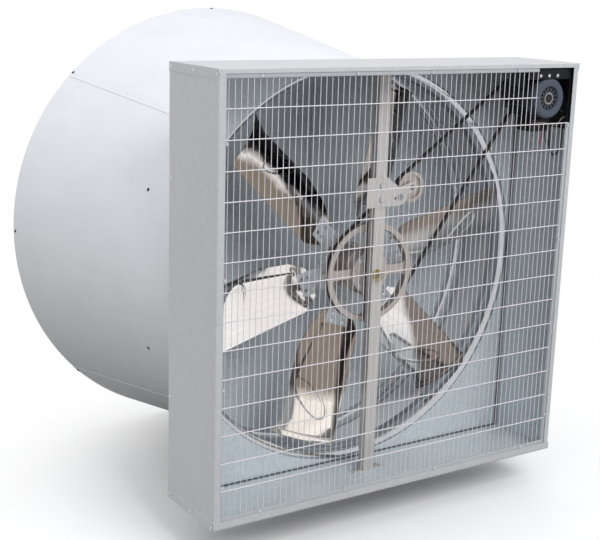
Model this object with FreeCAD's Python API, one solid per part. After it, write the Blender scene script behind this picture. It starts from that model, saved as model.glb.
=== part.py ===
import FreeCAD, Part
import math
import os

# Belt-driven exhaust fan with a discharge cone, in millimetres. The origin is the middle of the housing's
# underside; air goes in at the guard, which faces -Y, and leaves through the cone along +Y; +Z is up.

V = FreeCAD.Vector

# Propeller and throat: the blade circle sets the throat, and the throat sets the square housing
TIP_RADIUS = 630.0
TIP_CLEARANCE = 25.0
BELL_ROUNDING = 25.0
BELL_FLATS = 3
BELL_MARGIN = 10.0
COLLAR_LENGTH = 43.0
SHEET = 1.5
DEPTH = 300.0
TOP_LIP = 14.0
SIDE_LIP = 22.0
BOTTOM_LIP = 28.0
CORNER_LAP = 28.0
PANEL_FLANGE = 18.0
ANCHOR_INSET = 141.0
ANCHOR_SETBACK = 61.0
ANCHOR_RADIUS = 6.0

THROAT = TIP_RADIUS + TIP_CLEARANCE
BELL_MOUTH = THROAT + BELL_ROUNDING
HOUSING = 2 * (BELL_MOUTH + BELL_MARGIN)
HALF = HOUSING / 2
AXIS_Z = HALF
FRONT = -DEPTH / 2
REAR = DEPTH / 2
SIDE_OUTER = HALF - SHEET
SIDE_INNER = SIDE_OUTER - SHEET
FLOOR = SHEET
CEILING = HOUSING - SHEET
PANEL_Y = REAR - PANEL_FLANGE
BELL_END = PANEL_Y + BELL_ROUNDING
COLLAR_END = BELL_END + COLLAR_LENGTH

# Clearances
GAP = 0.3
RUNNING = 0.05

# Discharge cone: four lapped sheets that start on the throat's collar
CONE_SETBACK = 9.0
CONE_LENGTH = 1003.0
OUTLET_RADIUS = 816.5
CONE_SHEETS = 4
SEAM_HALF = 15.0
HOOP_WIDTH = 25.0
HOOP_WALL = 2.0
RIM_SCREWS = 8
CONE_BASE = THROAT + SHEET
CONE_START = BELL_END + CONE_SETBACK
CONE_END = CONE_START + CONE_LENGTH

# Butterfly shutter in the cone
SHUTTER_SETBACK = 262.0
RING_STRIP = 70.0
RING_FLANGE = 25.0
RING_WALL = 2.0
DOOR_EDGE_GAP = 8.0
DOOR_POST_GAP = 1.0
DOOR_RIM = 12.0
DOOR_STIFFENER = (30.0, 10.0)
HINGE_X = 12.0
PIN_RADIUS = 4.0
KNUCKLE_RADIUS = 7.0
KNUCKLE_LENGTH = 70.0
LUG_LENGTH = 8.0
SHUTTER_POST_HALF = 4.5
SHUTTER_POST_DEPTH = 35.0
HINGE_LEVELS = (-0.55, 0.55)
HINGE_SIDES = 8
SHUTTER_Y = CONE_START + SHUTTER_SETBACK

# Blades: a flat seat at the root, then twisted and cambered to the tip
BLADES = 6
BLADE_PHASE = 14.2
BLADE_SETBACK = 24.0
BLADE_SHEET = 2.0
ROOT_RADIUS = 165.0
SEAT_LENGTH = 43.0
SHOULDER_LENGTH = 17.0
ROOT_HALF = 48.0
INTAKE_HALF = 86.0
INTAKE_TIP_HALF = 100.0
TRAILING_HALF = 110.0
TRAILING_TIP_HALF = 93.0
TIP_FLARE = 28.0
ROOT_PITCH = 20.0
TIP_PITCH = 27.0
CAMBER = 26.0
BLADE_Y = PANEL_Y + BLADE_SETBACK

# Root brackets and spider
BRACKET_WALL = 3.0
BRACKET_WIDTH = 78.0
TAB_START = 92.0
TAB_END = 135.0
SPIDER_WALL = 6.0
SPIDER_RADIUS = 90.0
SPIDER_ARM = 84.0

# Belt drive: section of the belt, pulleys and idler
BELT_TOP = 13.0
BELT_FOOT = 9.0
BELT_HEIGHT = 8.0
BELT_CLEARANCE = 45.0
DRIVE_PULLEY_RADIUS = 168.0
DRIVE_RIM = 18.0
PULLEY_WIDTH = 26.0
GROOVE_SPARE = 4.0
SPOKES = 4
SPOKE_WIDTH = 32.0
SPOKE_WALL = 10.0
WINDOW_ROUND = 16.0
BOSS_RADIUS = 72.0
BOSS_REAR = 20.0
MOTOR_PULLEY_RADIUS = 49.0
MOTOR_PULLEY_WIDTH = 24.0
IDLER_RADIUS = 46.0
IDLER_FLANGE = 6.0
IDLER_WIDTH = 22.0
IDLER_ALONG = 290.0
IDLER_PUSH = 14.0
BLADE_REACH = INTAKE_TIP_HALF * math.sin(math.radians(TIP_PITCH)) + BLADE_SHEET
BELT_Y = BLADE_Y - BLADE_REACH - BELT_CLEARANCE - BELT_TOP / 2

# Centre post, fixed axle, hub and bearings
POST_WIDTH = 44.0
POST_DEPTH = 30.0
POST_WALL = 3.0
POST_GAP = 8.0
FOOT_HALF = 62.0
FOOT_BOLT_X = 42.0
AXLE_RADIUS = 10.0
NUT_HEIGHT = 16.0
NUT_RADIUS = 17.0
WASHER_RADIUS = 18.5
WASHER_WALL = 3.0
SPACER_RADIUS = POST_WIDTH / 2 - POST_WALL - GAP
HUB_RADIUS = 45.0
HUB_TAIL = 20.0
FLANGE_RADIUS = 80.0
FLANGE_WALL = 8.0
FLANGE_SIDES = 24
BEARING_RADIUS = 26.0
BEARING_WIDTH = 15.0
BEARING_INSET = 2.0
HUB_BORE = 20.0
POST_REAR = BELT_Y - PULLEY_WIDTH / 2 - POST_GAP
POST_FRONT = POST_REAR - POST_DEPTH
HUB_FRONT = BELT_Y - PULLEY_WIDTH / 2
HUB_REAR = BLADE_Y + SPIDER_WALL + HUB_TAIL

# Tensioner on the post
PLATE_WALL = 4.0
PLATE_LEFT = 33.0
PLATE_ABOVE = 68.0
PLATE_BELOW = 30.0
PLATE_END_RADIUS = 28.0
PLATE_HOLE_RADIUS = 5.0
PLATE_HOLE_X = 20.0
ARM_X = 80.0
ARM_Z = 20.0
ARM_WALL = 6.0
ARM_END_RADIUS = 17.0
STUD_RADIUS = 6.0
SLEEVE_RADIUS = 10.0

# Motor, its bracket and terminal box
MOTOR_INSET = 116.0
MOTOR_TAIL_GAP = 10.0
COWL_RADIUS = 68.0
COWL_LENGTH = 48.0
COWL_ROUND = 12.0
COWL_SLOTS = 14
COWL_GRILLE = 38.0
SHIELD_WALL = 12.0
FRAME_RADIUS = 60.0
FRAME_BORE = 40.5
FRAME_LENGTH = 104.0
FINS = 24
FIN_WALL = 3.0
SHAFT_RADIUS = 12.0
ROTOR_RADIUS = 40.0
ROTOR_LENGTH = 80.0
FAN_VANES = 7
BRACKET_PLATE = 3.0
BRACKET_LEFT = 100.0
BRACKET_DROP = 108.0
BRACKET_LIP = 48.0
BRACKET_SIDE_LIP = 22.0
FOOT_WALL = 14.0
FOOT_SPREAD = 51.0
FOOT_PAD = 8.0
BOX_HALF = 42.0
BOX_HEIGHT = 42.0
BOX_LENGTH = 80.0
GLAND_RADIUS = 9.0
GLAND_LENGTH = 9.0

MOTOR_X = HALF - MOTOR_INSET
MOTOR_Z = HOUSING - MOTOR_INSET
TAIL_Y = FRONT + MOTOR_TAIL_GAP
FRAME_START = TAIL_Y + COWL_LENGTH
FRAME_END = FRAME_START + FRAME_LENGTH
BOX_FRONT = FRAME_START - SHIELD_WALL
BOX_TOP = MOTOR_Z - COWL_RADIUS - 2 * SHEET

# Intake guard
GUARD_PITCH = 20.42
GUARD_ROW_PITCH = 88.0
UPRIGHT_WIRE = 3.0
ROW_WIRE = 4.0
GUARD_INSET = 14.0
EDGE_SHOW = 13.0
NOTCH_LEFT = 62.0
GUARD_Z = (BOTTOM_LIP + HOUSING - TOP_LIP) / 2
SIDE_EDGE = SIDE_OUTER - SIDE_LIP - EDGE_SHOW
TOP_EDGE = HOUSING - TOP_LIP - EDGE_SHOW
BOTTOM_EDGE = BOTTOM_LIP + EDGE_SHOW

# Fastener heads
SCREW_RADIUS = 6.0
SCREW_HEIGHT = 2.5
RIVET_RADIUS = 5.0
RIVET_HEIGHT = 2.0
BOLT_RADIUS = 9.0
BOLT_HEIGHT = 6.0
SCREWS_TOP = (0.102, 0.34, 0.546, 0.804)
SCREWS_BOTTOM = (0.118, 0.35, 0.618, 0.9)
SCREWS_UP = (0.1, 0.324, 0.564, 0.849)
RIVET_INSET = 10.0

FAN_AXIS = V(0, 0, AXIS_Z)
MOTOR_AXIS = V(MOTOR_X, 0, MOTOR_Z)
TURN = V(0, -1, 0)
LEFT, RIGHT = -1, 1


# Shared forms

def box(x0, x1, y0, y1, z0, z1):
    return Part.makeBox(x1 - x0, y1 - y0, z1 - z0, V(x0, y0, z0))


def rod(radius, centre, y0, y1):
    return Part.makeCylinder(radius, y1 - y0, V(centre.x, y0, centre.z), V(0, 1, 0))


def head(start, direction, radius, height, sides=6):
    """Fastener head or faceted bar: a prism from start along a unit direction."""
    turn = FreeCAD.Rotation(V(0, 0, 1), direction)
    corners = []
    for i in range(sides):
        angle = 2 * math.pi * (i + 0.5) / sides
        corners.append(start + turn.multVec(V(radius * math.cos(angle), radius * math.sin(angle), 0)))
    return Part.Face(Part.makePolygon(corners + corners[:1])).extrude(direction * height)


def polar(radius, angle, y, centre=FAN_AXIS):
    """Point at a radius and an angle from +X towards +Z about an axis along Y."""
    turn = math.radians(angle)
    return V(centre.x + radius * math.cos(turn), y, centre.z + radius * math.sin(turn))


def ring(profile, centre=FAN_AXIS):
    """Full turn of a polygon of (radius, y) corners about an axis along Y."""
    corners = [polar(radius, 0, y, centre) for radius, y in profile]
    return Part.Face(Part.makePolygon(corners + corners[:1])).revolve(V(centre.x, 0, centre.z), TURN, 360)


def line(a, b):
    return Part.LineSegment(a, b).toShape()


def arc(a, middle, b):
    return Part.Arc(a, middle, b).toShape()


def fuse(shapes):
    return shapes[0].fuse(shapes[1:]).removeSplitter()


def around(shape, count, phase=0.0):
    """Copies of a shape, evenly spaced about the fan axis."""
    copies = []
    for i in range(count):
        copies.append(shape.copy())
        copies[-1].rotate(FAN_AXIS, TURN, phase + 360.0 * i / count)
    return copies


def cone_inner(y):
    return CONE_BASE + (OUTLET_RADIUS - CONE_BASE) * (y - CONE_START) / CONE_LENGTH


# Housing of folded sheet

def side_panel(side):
    web = box(SIDE_INNER, SIDE_OUTER, FRONT, REAR, FLOOR, CEILING)
    lip = box(SIDE_OUTER - SIDE_LIP, SIDE_INNER, FRONT, FRONT + SHEET, BOTTOM_LIP, HOUSING - TOP_LIP)
    panel = fuse([web, lip])
    return panel if side == RIGHT else panel.mirror(V(0, 0, 0), V(1, 0, 0))


def lapped_panel(lip_height):
    """Floor sheet with its front lip and the laps that fold over the sides."""
    sheet = box(-HALF, HALF, FRONT, REAR, 0, SHEET)
    lip = box(-SIDE_INNER, SIDE_INNER, FRONT, FRONT + SHEET, SHEET, lip_height)
    laps = [box(x, x + SHEET, FRONT, REAR, SHEET, CORNER_LAP) for x in (-HALF, SIDE_OUTER)]
    return fuse([sheet, lip] + laps)


def bottom_panel():
    places = [V(side * (HALF - ANCHOR_INSET), REAR - ANCHOR_SETBACK, 0) for side in (LEFT, RIGHT)]
    return lapped_panel(BOTTOM_LIP).cut([Part.makeCylinder(ANCHOR_RADIUS, SHEET, place) for place in places])


def top_panel():
    return lapped_panel(TOP_LIP).mirror(V(0, 0, AXIS_Z), V(0, 0, 1))


def back_panel():
    tray = box(-SIDE_INNER, SIDE_INNER, PANEL_Y, REAR, FLOOR, CEILING)
    hollow = box(-SIDE_INNER + SHEET, SIDE_INNER - SHEET, PANEL_Y + SHEET, REAR, FLOOR + SHEET, CEILING - SHEET)
    return tray.cut(hollow).cut(rod(BELL_MOUTH, FAN_AXIS, FRONT, REAR))


def orifice_ring():
    """Bell mouth that leaves the panel flush, in flats along its quarter round, and the collar behind it."""
    def quarter(rounding):
        turns = [math.pi / 2 * i / BELL_FLATS for i in range(BELL_FLATS + 1)]
        return [(BELL_MOUTH - rounding * math.sin(turn), BELL_END - rounding * math.cos(turn)) for turn in turns]

    front, rear = quarter(BELL_ROUNDING), quarter(BELL_ROUNDING - SHEET)
    return ring(front + [(THROAT, COLLAR_END), (THROAT + SHEET, COLLAR_END)] + rear[::-1])


def panel_rivets():
    rivets = []
    for side in (LEFT, RIGHT):
        out = V(side, 0, 0)
        for z in (CORNER_LAP / 2, HOUSING - CORNER_LAP / 2):
            for y in (FRONT + RIVET_INSET, 0, REAR - RIVET_INSET):
                rivets.append(head(V(side * HALF, y, z), out, RIVET_RADIUS, RIVET_HEIGHT, 8))
        for i in (1, 2, 3):
            place = V(side * SIDE_OUTER, REAR - RIVET_INSET, HOUSING * i / 4)
            rivets.append(head(place, out, RIVET_RADIUS, RIVET_HEIGHT, 8))
    return Part.makeCompound(rivets)


# Intake guard behind the front lips: welded wires on flat edge bars, notched round the motor

def intake_guard():
    reach = HALF - GUARD_INSET
    low, high = GUARD_Z - reach, GUARD_Z + reach
    row_y = FRONT + SHEET
    upright_y = row_y + ROW_WIRE
    rows = int((2 * reach - ROW_WIRE) // GUARD_ROW_PITCH) + 1
    uprights = int(2 * SIDE_EDGE // GUARD_PITCH) + 1
    levels = [GUARD_Z + (i - (rows - 1) / 2) * GUARD_ROW_PITCH for i in range(rows)]
    places = [(i - (uprights - 1) / 2) * GUARD_PITCH for i in range(uprights)]
    notch_x = max(x for x in places if x < MOTOR_X - NOTCH_LEFT)
    notch_z = max(z for z in levels if z < BOX_TOP)
    notch_side, notch_top = notch_x + UPRIGHT_WIRE / 2, notch_z + ROW_WIRE / 2
    wires = [
        box(-reach, notch_side, row_y, upright_y, TOP_EDGE, high),
        box(-reach, reach, row_y, upright_y, low, BOTTOM_EDGE),
        box(-reach, -SIDE_EDGE, row_y, upright_y, BOTTOM_EDGE, TOP_EDGE),
        box(SIDE_EDGE, reach, row_y, upright_y, BOTTOM_EDGE, notch_top),
    ]
    for z in levels:
        if BOTTOM_EDGE < z < TOP_EDGE:
            end = SIDE_EDGE if z <= notch_z else notch_side
            wires.append(wire(V(-SIDE_EDGE, row_y, z), V(1, 0, 0), end + SIDE_EDGE, ROW_WIRE))
    for x in places:
        end = high if x <= notch_x else notch_top
        wires.append(wire(V(x, upright_y, low), V(0, 0, 1), end - low, UPRIGHT_WIRE))
    return Part.makeCompound(wires)


def wire(start, direction, length, across):
    """Eight-sided wire whose front flat lies in the start's y plane."""
    corner_radius = across / 2 / math.cos(math.pi / 8)
    return head(start + V(0, across / 2, 0), direction, corner_radius, length, 8)


def guard_screws():
    """Screws on the middle of what shows of the edge bars."""
    out = V(0, -1, 0)
    seat, inset = FRONT + SHEET, EDGE_SHOW / 2
    places = [V(share * HOUSING - HALF, seat, TOP_EDGE + inset) for share in SCREWS_TOP]
    places += [V(share * HOUSING - HALF, seat, BOTTOM_EDGE - inset) for share in SCREWS_BOTTOM]
    for share in SCREWS_UP:
        places += [V(x, seat, share * HOUSING) for x in (-SIDE_EDGE - inset, SIDE_EDGE + inset)]
    return Part.makeCompound([head(place, out, SCREW_RADIUS, SCREW_HEIGHT) for place in places])


# Discharge cone

def cone_outline(radius, y, start):
    """Section of one sheet: a quarter of the cone with a raised lap over its neighbour's edge."""
    sweep = 360.0 / CONE_SHEETS
    lap = math.degrees(SEAM_HALF / CONE_BASE)
    outer, raised = radius + SHEET, radius + 2 * SHEET

    def bend(r, a, b):
        return arc(polar(r, a, y), polar(r, (a + b) / 2, y), polar(r, b, y))

    def step(r0, r1, a):
        return line(polar(r0, a, y), polar(r1, a, y))

    end = start + sweep
    return Part.Wire([
        bend(radius, start, end), step(radius, outer, end), bend(outer, end, start + lap),
        step(outer, raised, start + lap), bend(raised, start + lap, start - lap),
        step(raised, outer, start - lap), bend(outer, start - lap, start), step(outer, radius, start),
    ])


def cone_sheet(number):
    start = 45.0 + number * 360.0 / CONE_SHEETS
    sections = [cone_outline(CONE_BASE, CONE_START, start), cone_outline(OUTLET_RADIUS, CONE_END, start)]
    return Part.makeLoft(sections, True, True)


def cone_rim_hoop():
    y0 = CONE_END - HOOP_WIDTH
    return ring([(cone_inner(y0), y0), (cone_inner(CONE_END), CONE_END),
                 (cone_inner(CONE_END) - HOOP_WALL, CONE_END), (cone_inner(y0) - HOOP_WALL, y0)])


def cone_screws():
    """Screws through the rim hoop and through the shutter ring, seen on the cone's outside."""
    screws = []
    rim_y = CONE_END - HOOP_WIDTH / 2
    ring_y = SHUTTER_Y - RING_STRIP / 2
    spacing = 360.0 / RIM_SCREWS
    slope = math.atan2(OUTLET_RADIUS - CONE_BASE, CONE_LENGTH)
    for i in range(RIM_SCREWS):
        angle = i * spacing
        on_seam = abs((angle - 45.0) % (360.0 / CONE_SHEETS)) < 1
        wall = 2 * SHEET if on_seam else SHEET
        for y, turn, skin in ((rim_y, angle, wall), (ring_y, angle + spacing / 2, SHEET)):
            out = polar(math.cos(slope), turn, -math.sin(slope), V(0, 0, 0))
            seat = polar(cone_inner(y) + skin / math.cos(slope), turn, y)
            screws.append(head(seat, out, SCREW_RADIUS, SCREW_HEIGHT))
    return Part.makeCompound(screws)


# Butterfly shutter: stop ring, post with pins, and two doors that swing downstream

DOOR_FRONT = SHUTTER_Y + GAP
DOOR_BACK = DOOR_FRONT + SHEET
DOOR_RADIUS = cone_inner(SHUTTER_Y) - DOOR_EDGE_GAP
RING_BORE = cone_inner(SHUTTER_Y) - RING_FLANGE
HINGE_Y = DOOR_BACK + KNUCKLE_RADIUS - SHEET / 2
LUG_RADIUS = KNUCKLE_RADIUS - 2 * SHEET / 2


def shutter_ring():
    y0, y1 = SHUTTER_Y - RING_STRIP, SHUTTER_Y
    lip = y1 - RING_WALL
    return ring([(cone_inner(y0), y0), (cone_inner(y1), y1), (RING_BORE, y1), (RING_BORE, lip),
                 (cone_inner(lip) - RING_WALL, lip), (cone_inner(y0) - RING_WALL, y0)])


def hinge_level(share):
    return AXIS_Z + share * RING_BORE


def shutter_post():
    """Upright bar behind the stop ring's flange, with two lugs for the pins at each hinge."""
    reach = cone_inner(SHUTTER_Y) - RING_WALL
    bar = box(-SHUTTER_POST_HALF, SHUTTER_POST_HALF, SHUTTER_Y, SHUTTER_Y + SHUTTER_POST_DEPTH,
              AXIS_Z - reach, AXIS_Z + reach)
    pieces = [bar]
    for share in HINGE_LEVELS:
        for end in (-1, 1):
            middle = hinge_level(share) + end * (KNUCKLE_LENGTH / 2 + GAP + LUG_LENGTH / 2)
            z0 = middle - LUG_LENGTH / 2
            pieces.append(box(-HINGE_X, HINGE_X, HINGE_Y - LUG_RADIUS, HINGE_Y + LUG_RADIUS, z0, z0 + LUG_LENGTH))
            for side in (LEFT, RIGHT):
                start = V(side * HINGE_X, HINGE_Y, z0)
                pieces.append(head(start, V(0, 0, 1), LUG_RADIUS, LUG_LENGTH, HINGE_SIDES))
    post = fuse(pieces)
    for side in (LEFT, RIGHT):
        post = post.cut(Part.makeCylinder(PIN_RADIUS, 2 * reach, V(side * HINGE_X, HINGE_Y, AXIS_Z - reach)))
    return post


def hinge_pins():
    """One pin through each hinge's knuckle and its two lugs."""
    length = KNUCKLE_LENGTH + 2 * GAP + 2 * LUG_LENGTH
    pins = []
    for side in (LEFT, RIGHT):
        for share in HINGE_LEVELS:
            start = V(side * HINGE_X, HINGE_Y, hinge_level(share) - length / 2)
            pins.append(Part.makeCylinder(PIN_RADIUS, length, start))
    return Part.makeCompound(pins)


def shutter_door(side):
    """Half-round sheet with a turned rim, a stiffener, knuckles, and an edge that closes up to the post."""
    sheet = rod(DOOR_RADIUS, FAN_AXIS, DOOR_FRONT, DOOR_BACK)
    rim = rod(DOOR_RADIUS, FAN_AXIS, DOOR_FRONT, DOOR_FRONT + DOOR_RIM)
    rim = rim.cut(rod(DOOR_RADIUS - SHEET, FAN_AXIS, DOOR_FRONT, DOOR_FRONT + DOOR_RIM))
    half = box(HINGE_X, DOOR_RADIUS, DOOR_FRONT, DOOR_FRONT + DOOR_RIM,
               AXIS_Z - DOOR_RADIUS, AXIS_Z + DOOR_RADIUS)
    tall, deep = DOOR_STIFFENER
    stiffener = box(3 * HINGE_X, RING_BORE - tall, DOOR_BACK, DOOR_BACK + deep,
                    AXIS_Z - tall / 2, AXIS_Z + tall / 2)
    reach = RING_BORE - DOOR_RIM
    edge = box(SHUTTER_POST_HALF + DOOR_POST_GAP, HINGE_X, DOOR_FRONT, DOOR_BACK,
               AXIS_Z - reach, AXIS_Z + reach)
    pieces = [sheet.fuse(rim).common(half), edge, stiffener]
    bores = []
    for share in HINGE_LEVELS:
        start = V(HINGE_X, HINGE_Y, hinge_level(share) - KNUCKLE_LENGTH / 2)
        pieces.append(head(start, V(0, 0, 1), KNUCKLE_RADIUS, KNUCKLE_LENGTH, HINGE_SIDES))
        bores.append(Part.makeCylinder(PIN_RADIUS + RUNNING, KNUCKLE_LENGTH, start))
    door = fuse(pieces).cut(bores)
    return door if side == RIGHT else door.mirror(V(0, 0, 0), V(1, 0, 0))


# Centre post, axle and hub

def centre_post():
    half = POST_WIDTH / 2
    pieces = [box(-half, half, POST_FRONT, POST_FRONT + POST_WALL, FLOOR, CEILING)]
    for x in (-half, half - POST_WALL):
        pieces.append(box(x, x + POST_WALL, POST_FRONT, POST_REAR, FLOOR, CEILING))
    for z in (FLOOR, CEILING - POST_WALL):
        pieces.append(box(-FOOT_HALF, FOOT_HALF, POST_FRONT, POST_REAR, z, z + POST_WALL))
    return fuse(pieces).cut(rod(AXLE_RADIUS, FAN_AXIS, POST_FRONT, POST_REAR))


def post_bolts():
    y = (POST_FRONT + POST_REAR) / 2
    bolts = []
    for x in (-FOOT_BOLT_X, FOOT_BOLT_X):
        bolts.append(head(V(x, y, FLOOR + POST_WALL), V(0, 0, 1), BOLT_RADIUS, BOLT_HEIGHT))
        bolts.append(head(V(x, y, CEILING - POST_WALL), V(0, 0, -1), BOLT_RADIUS, BOLT_HEIGHT))
    return Part.makeCompound(bolts)


AXLE_FRONT = POST_FRONT - WASHER_WALL - NUT_HEIGHT - BOLT_HEIGHT
AXLE_REAR = HUB_REAR + NUT_HEIGHT


def fan_axle():
    return rod(AXLE_RADIUS, FAN_AXIS, AXLE_FRONT, AXLE_REAR)


def axle_nuts():
    """Washer and nut on the post's front, and the nut that keeps the hub on."""
    bore = rod(AXLE_RADIUS, FAN_AXIS, AXLE_FRONT, AXLE_REAR)
    washer = rod(WASHER_RADIUS, FAN_AXIS, POST_FRONT - WASHER_WALL, POST_FRONT)
    front = head(V(0, POST_FRONT - WASHER_WALL, AXIS_Z), V(0, -1, 0), NUT_RADIUS, NUT_HEIGHT)
    seat = HUB_REAR - BEARING_INSET + GAP
    rear = head(V(0, seat, AXIS_Z), V(0, 1, 0), NUT_RADIUS, NUT_HEIGHT - BEARING_INSET)
    return Part.makeCompound([piece.cut(bore) for piece in (washer, front, rear)])


def axle_spacer():
    y0, y1 = POST_FRONT + POST_WALL, HUB_FRONT + BEARING_INSET - GAP
    return ring([(AXLE_RADIUS, y0), (SPACER_RADIUS, y0), (SPACER_RADIUS, y1), (AXLE_RADIUS, y1)])


def hub():
    """Bearing housing with one flange for the pulley, one for the spider, and a seat at each end."""
    barrel = rod(HUB_RADIUS, FAN_AXIS, HUB_FRONT, HUB_REAR)
    flanges = []
    for y in (BELT_Y + BOSS_REAR, BLADE_Y - FLANGE_WALL):
        flanges.append(head(V(0, y, AXIS_Z), V(0, 1, 0), FLANGE_RADIUS, FLANGE_WALL, FLANGE_SIDES))
    seat = BEARING_INSET + BEARING_WIDTH
    return fuse([barrel] + flanges).cut([
        rod(HUB_BORE, FAN_AXIS, HUB_FRONT, HUB_REAR),
        rod(BEARING_RADIUS, FAN_AXIS, HUB_FRONT, HUB_FRONT + seat),
        rod(BEARING_RADIUS, FAN_AXIS, HUB_REAR - seat, HUB_REAR),
    ])


def hub_bearings():
    bore = AXLE_RADIUS + RUNNING
    bearings = []
    for y in (HUB_FRONT + BEARING_INSET, HUB_REAR - BEARING_INSET - BEARING_WIDTH):
        bearings.append(ring([(bore, y), (BEARING_RADIUS, y), (BEARING_RADIUS, y + BEARING_WIDTH),
                              (bore, y + BEARING_WIDTH)]))
    return Part.makeCompound(bearings)


# Propeller: spider, root brackets and blades, first drawn along +X and then turned to their places

def blade_frame(radius, pitch):
    """Middle of a blade section, its chord direction towards the intake edge, and its front normal."""
    lean = math.radians(pitch)
    chord_way = V(0, -math.sin(lean), math.cos(lean))
    front_way = V(0, -math.cos(lean), -math.sin(lean))
    return V(radius, BLADE_Y, AXIS_Z), chord_way, front_way


def blade_section(radius, intake_half, trailing_half, pitch, camber):
    middle, chord_way, front_way = blade_frame(radius, pitch)
    intake, trailing = middle + chord_way * intake_half, middle - chord_way * trailing_half
    back = front_way * -BLADE_SHEET
    crown = (intake + trailing) * 0.5 + front_way * camber
    return Part.Wire([
        arc(trailing, crown, intake), line(intake, intake + back),
        arc(intake + back, crown + back, trailing + back), line(trailing + back, trailing),
    ])


def blade():
    """Sheet with a flat seat, shoulders out to the full chord, a cambered span and a flared tip."""
    seat_end = ROOT_RADIUS + SEAT_LENGTH
    span_start = seat_end + SHOULDER_LENGTH
    span_end = math.sqrt(TIP_RADIUS ** 2 - (TRAILING_TIP_HALF + TIP_FLARE) ** 2)
    flat = BLADE_SHEET / 10
    shoulder = (INTAKE_HALF - ROOT_HALF) * SEAT_LENGTH / (SEAT_LENGTH + SHOULDER_LENGTH)
    sections = [blade_section(ROOT_RADIUS, ROOT_HALF, ROOT_HALF, ROOT_PITCH, flat),
                blade_section(seat_end, ROOT_HALF + shoulder, ROOT_HALF + shoulder, ROOT_PITCH, flat)]
    spread = INTAKE_HALF - TRAILING_HALF
    for share, swell, flare in ((0, 0.15, spread), (0.25, 0.8, 0), (0.55, 1, 0), (0.85, 1, 0), (1, 1, TIP_FLARE)):
        radius = span_start + share * (span_end - span_start)
        intake_half = INTAKE_HALF + (INTAKE_TIP_HALF - INTAKE_HALF) * share
        trailing_half = TRAILING_HALF + (TRAILING_TIP_HALF - TRAILING_HALF) * share + flare
        pitch = ROOT_PITCH + (TIP_PITCH - ROOT_PITCH) * share
        sections.append(blade_section(radius, intake_half, trailing_half, pitch, CAMBER * swell))
    return Part.makeLoft(sections, True, True)


def blade_bracket():
    """Stamped strap: flat tab on the spider, a twist, and a leaf on the front of the blade's seat."""
    sections = []
    leaf_end = ROOT_RADIUS + SEAT_LENGTH
    for radius, pitch in ((TAB_START, 0), (TAB_END, 0), (ROOT_RADIUS, ROOT_PITCH), (leaf_end, ROOT_PITCH)):
        middle, chord_way, front_way = blade_frame(radius, pitch)
        side, rise = chord_way * (BRACKET_WIDTH / 2), front_way * BRACKET_WALL
        lift = front_way * (BLADE_SHEET / 10)
        corners = [middle - side + lift, middle + side + lift, middle + side + rise, middle - side + rise]
        sections.append(Part.makePolygon(corners + corners[:1]))
    return Part.makeLoft(sections, True, True)


def bracket_bolts():
    """Two bolts on the tab and four on the leaf of each bracket."""
    bolts = []
    spread = BRACKET_WIDTH / 4
    tab = (TAB_START + TAB_END) / 2
    leaf = [ROOT_RADIUS + SEAT_LENGTH * share for share in (0.2, 0.75)]
    for radius, pitch in [(tab, 0)] + [(r, ROOT_PITCH) for r in leaf]:
        middle, chord_way, front_way = blade_frame(radius, pitch)
        for way in (-1, 1):
            seat = middle + chord_way * (way * spread) + front_way * BRACKET_WALL
            bolts.append(head(seat, front_way, SCREW_RADIUS, SCREW_HEIGHT * 2))
    return Part.makeCompound(bolts)


def spider():
    rear = BLADE_Y + SPIDER_WALL
    arm = box(0, TAB_END, BLADE_Y, rear, AXIS_Z - SPIDER_ARM / 2, AXIS_Z + SPIDER_ARM / 2)
    plate = fuse([rod(SPIDER_RADIUS, FAN_AXIS, BLADE_Y, rear)] + around(arm, BLADES, BLADE_PHASE))
    return plate.cut(rod(HUB_RADIUS, FAN_AXIS, BLADE_Y, rear))


# Belt drive

def groove(radius):
    """Half of the way across a grooved rim at the belt's plane, from the rim's edge to its floor."""
    taper = (BELT_TOP - BELT_FOOT) / 2 / BELT_HEIGHT
    floor = radius - BELT_HEIGHT - GROOVE_SPARE
    top_half = BELT_TOP / 2 + GAP
    floor_half = top_half - taper * (radius - floor)
    return [(radius, BELT_Y - top_half), (floor, BELT_Y - floor_half),
            (floor, BELT_Y + floor_half), (radius, BELT_Y + top_half)]


def drive_pulley():
    half = PULLEY_WIDTH / 2
    inner = DRIVE_PULLEY_RADIUS - DRIVE_RIM
    rim = ring([(inner, BELT_Y - half), (DRIVE_PULLEY_RADIUS, BELT_Y - half)] + groove(DRIVE_PULLEY_RADIUS)
               + [(DRIVE_PULLEY_RADIUS, BELT_Y + half), (inner, BELT_Y + half)])
    web0, web1 = BELT_Y - SPOKE_WALL / 2, BELT_Y + SPOKE_WALL / 2
    web = rod(inner, FAN_AXIS, web0, web1)
    boss = rod(BOSS_RADIUS, FAN_AXIS, BELT_Y - half, BELT_Y + BOSS_REAR)
    pane = rod(inner, FAN_AXIS, web0, web1).cut(rod(BOSS_RADIUS, FAN_AXIS, web0, web1))
    gap = SPOKE_WIDTH / 2
    pane = pane.common(box(gap, inner, web0, web1, AXIS_Z + gap, AXIS_Z + inner))
    upright_edges = [e for e in pane.Edges if abs(e.Vertexes[0].Y - e.Vertexes[-1].Y) > SPOKE_WALL / 2]
    pane = pane.makeFillet(WINDOW_ROUND, upright_edges)
    body = fuse([rim, web.cut(around(pane, SPOKES)), boss])
    return body.cut(rod(HUB_RADIUS, FAN_AXIS, BELT_Y - half, BELT_Y + BOSS_REAR))


def pulley_bolts():
    place = V((HUB_RADIUS + BOSS_RADIUS) / 2, HUB_FRONT, AXIS_Z)
    bolt = head(place, V(0, -1, 0), BOLT_RADIUS, BOLT_HEIGHT)
    return Part.makeCompound(around(bolt, SPOKES, 45))


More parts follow.
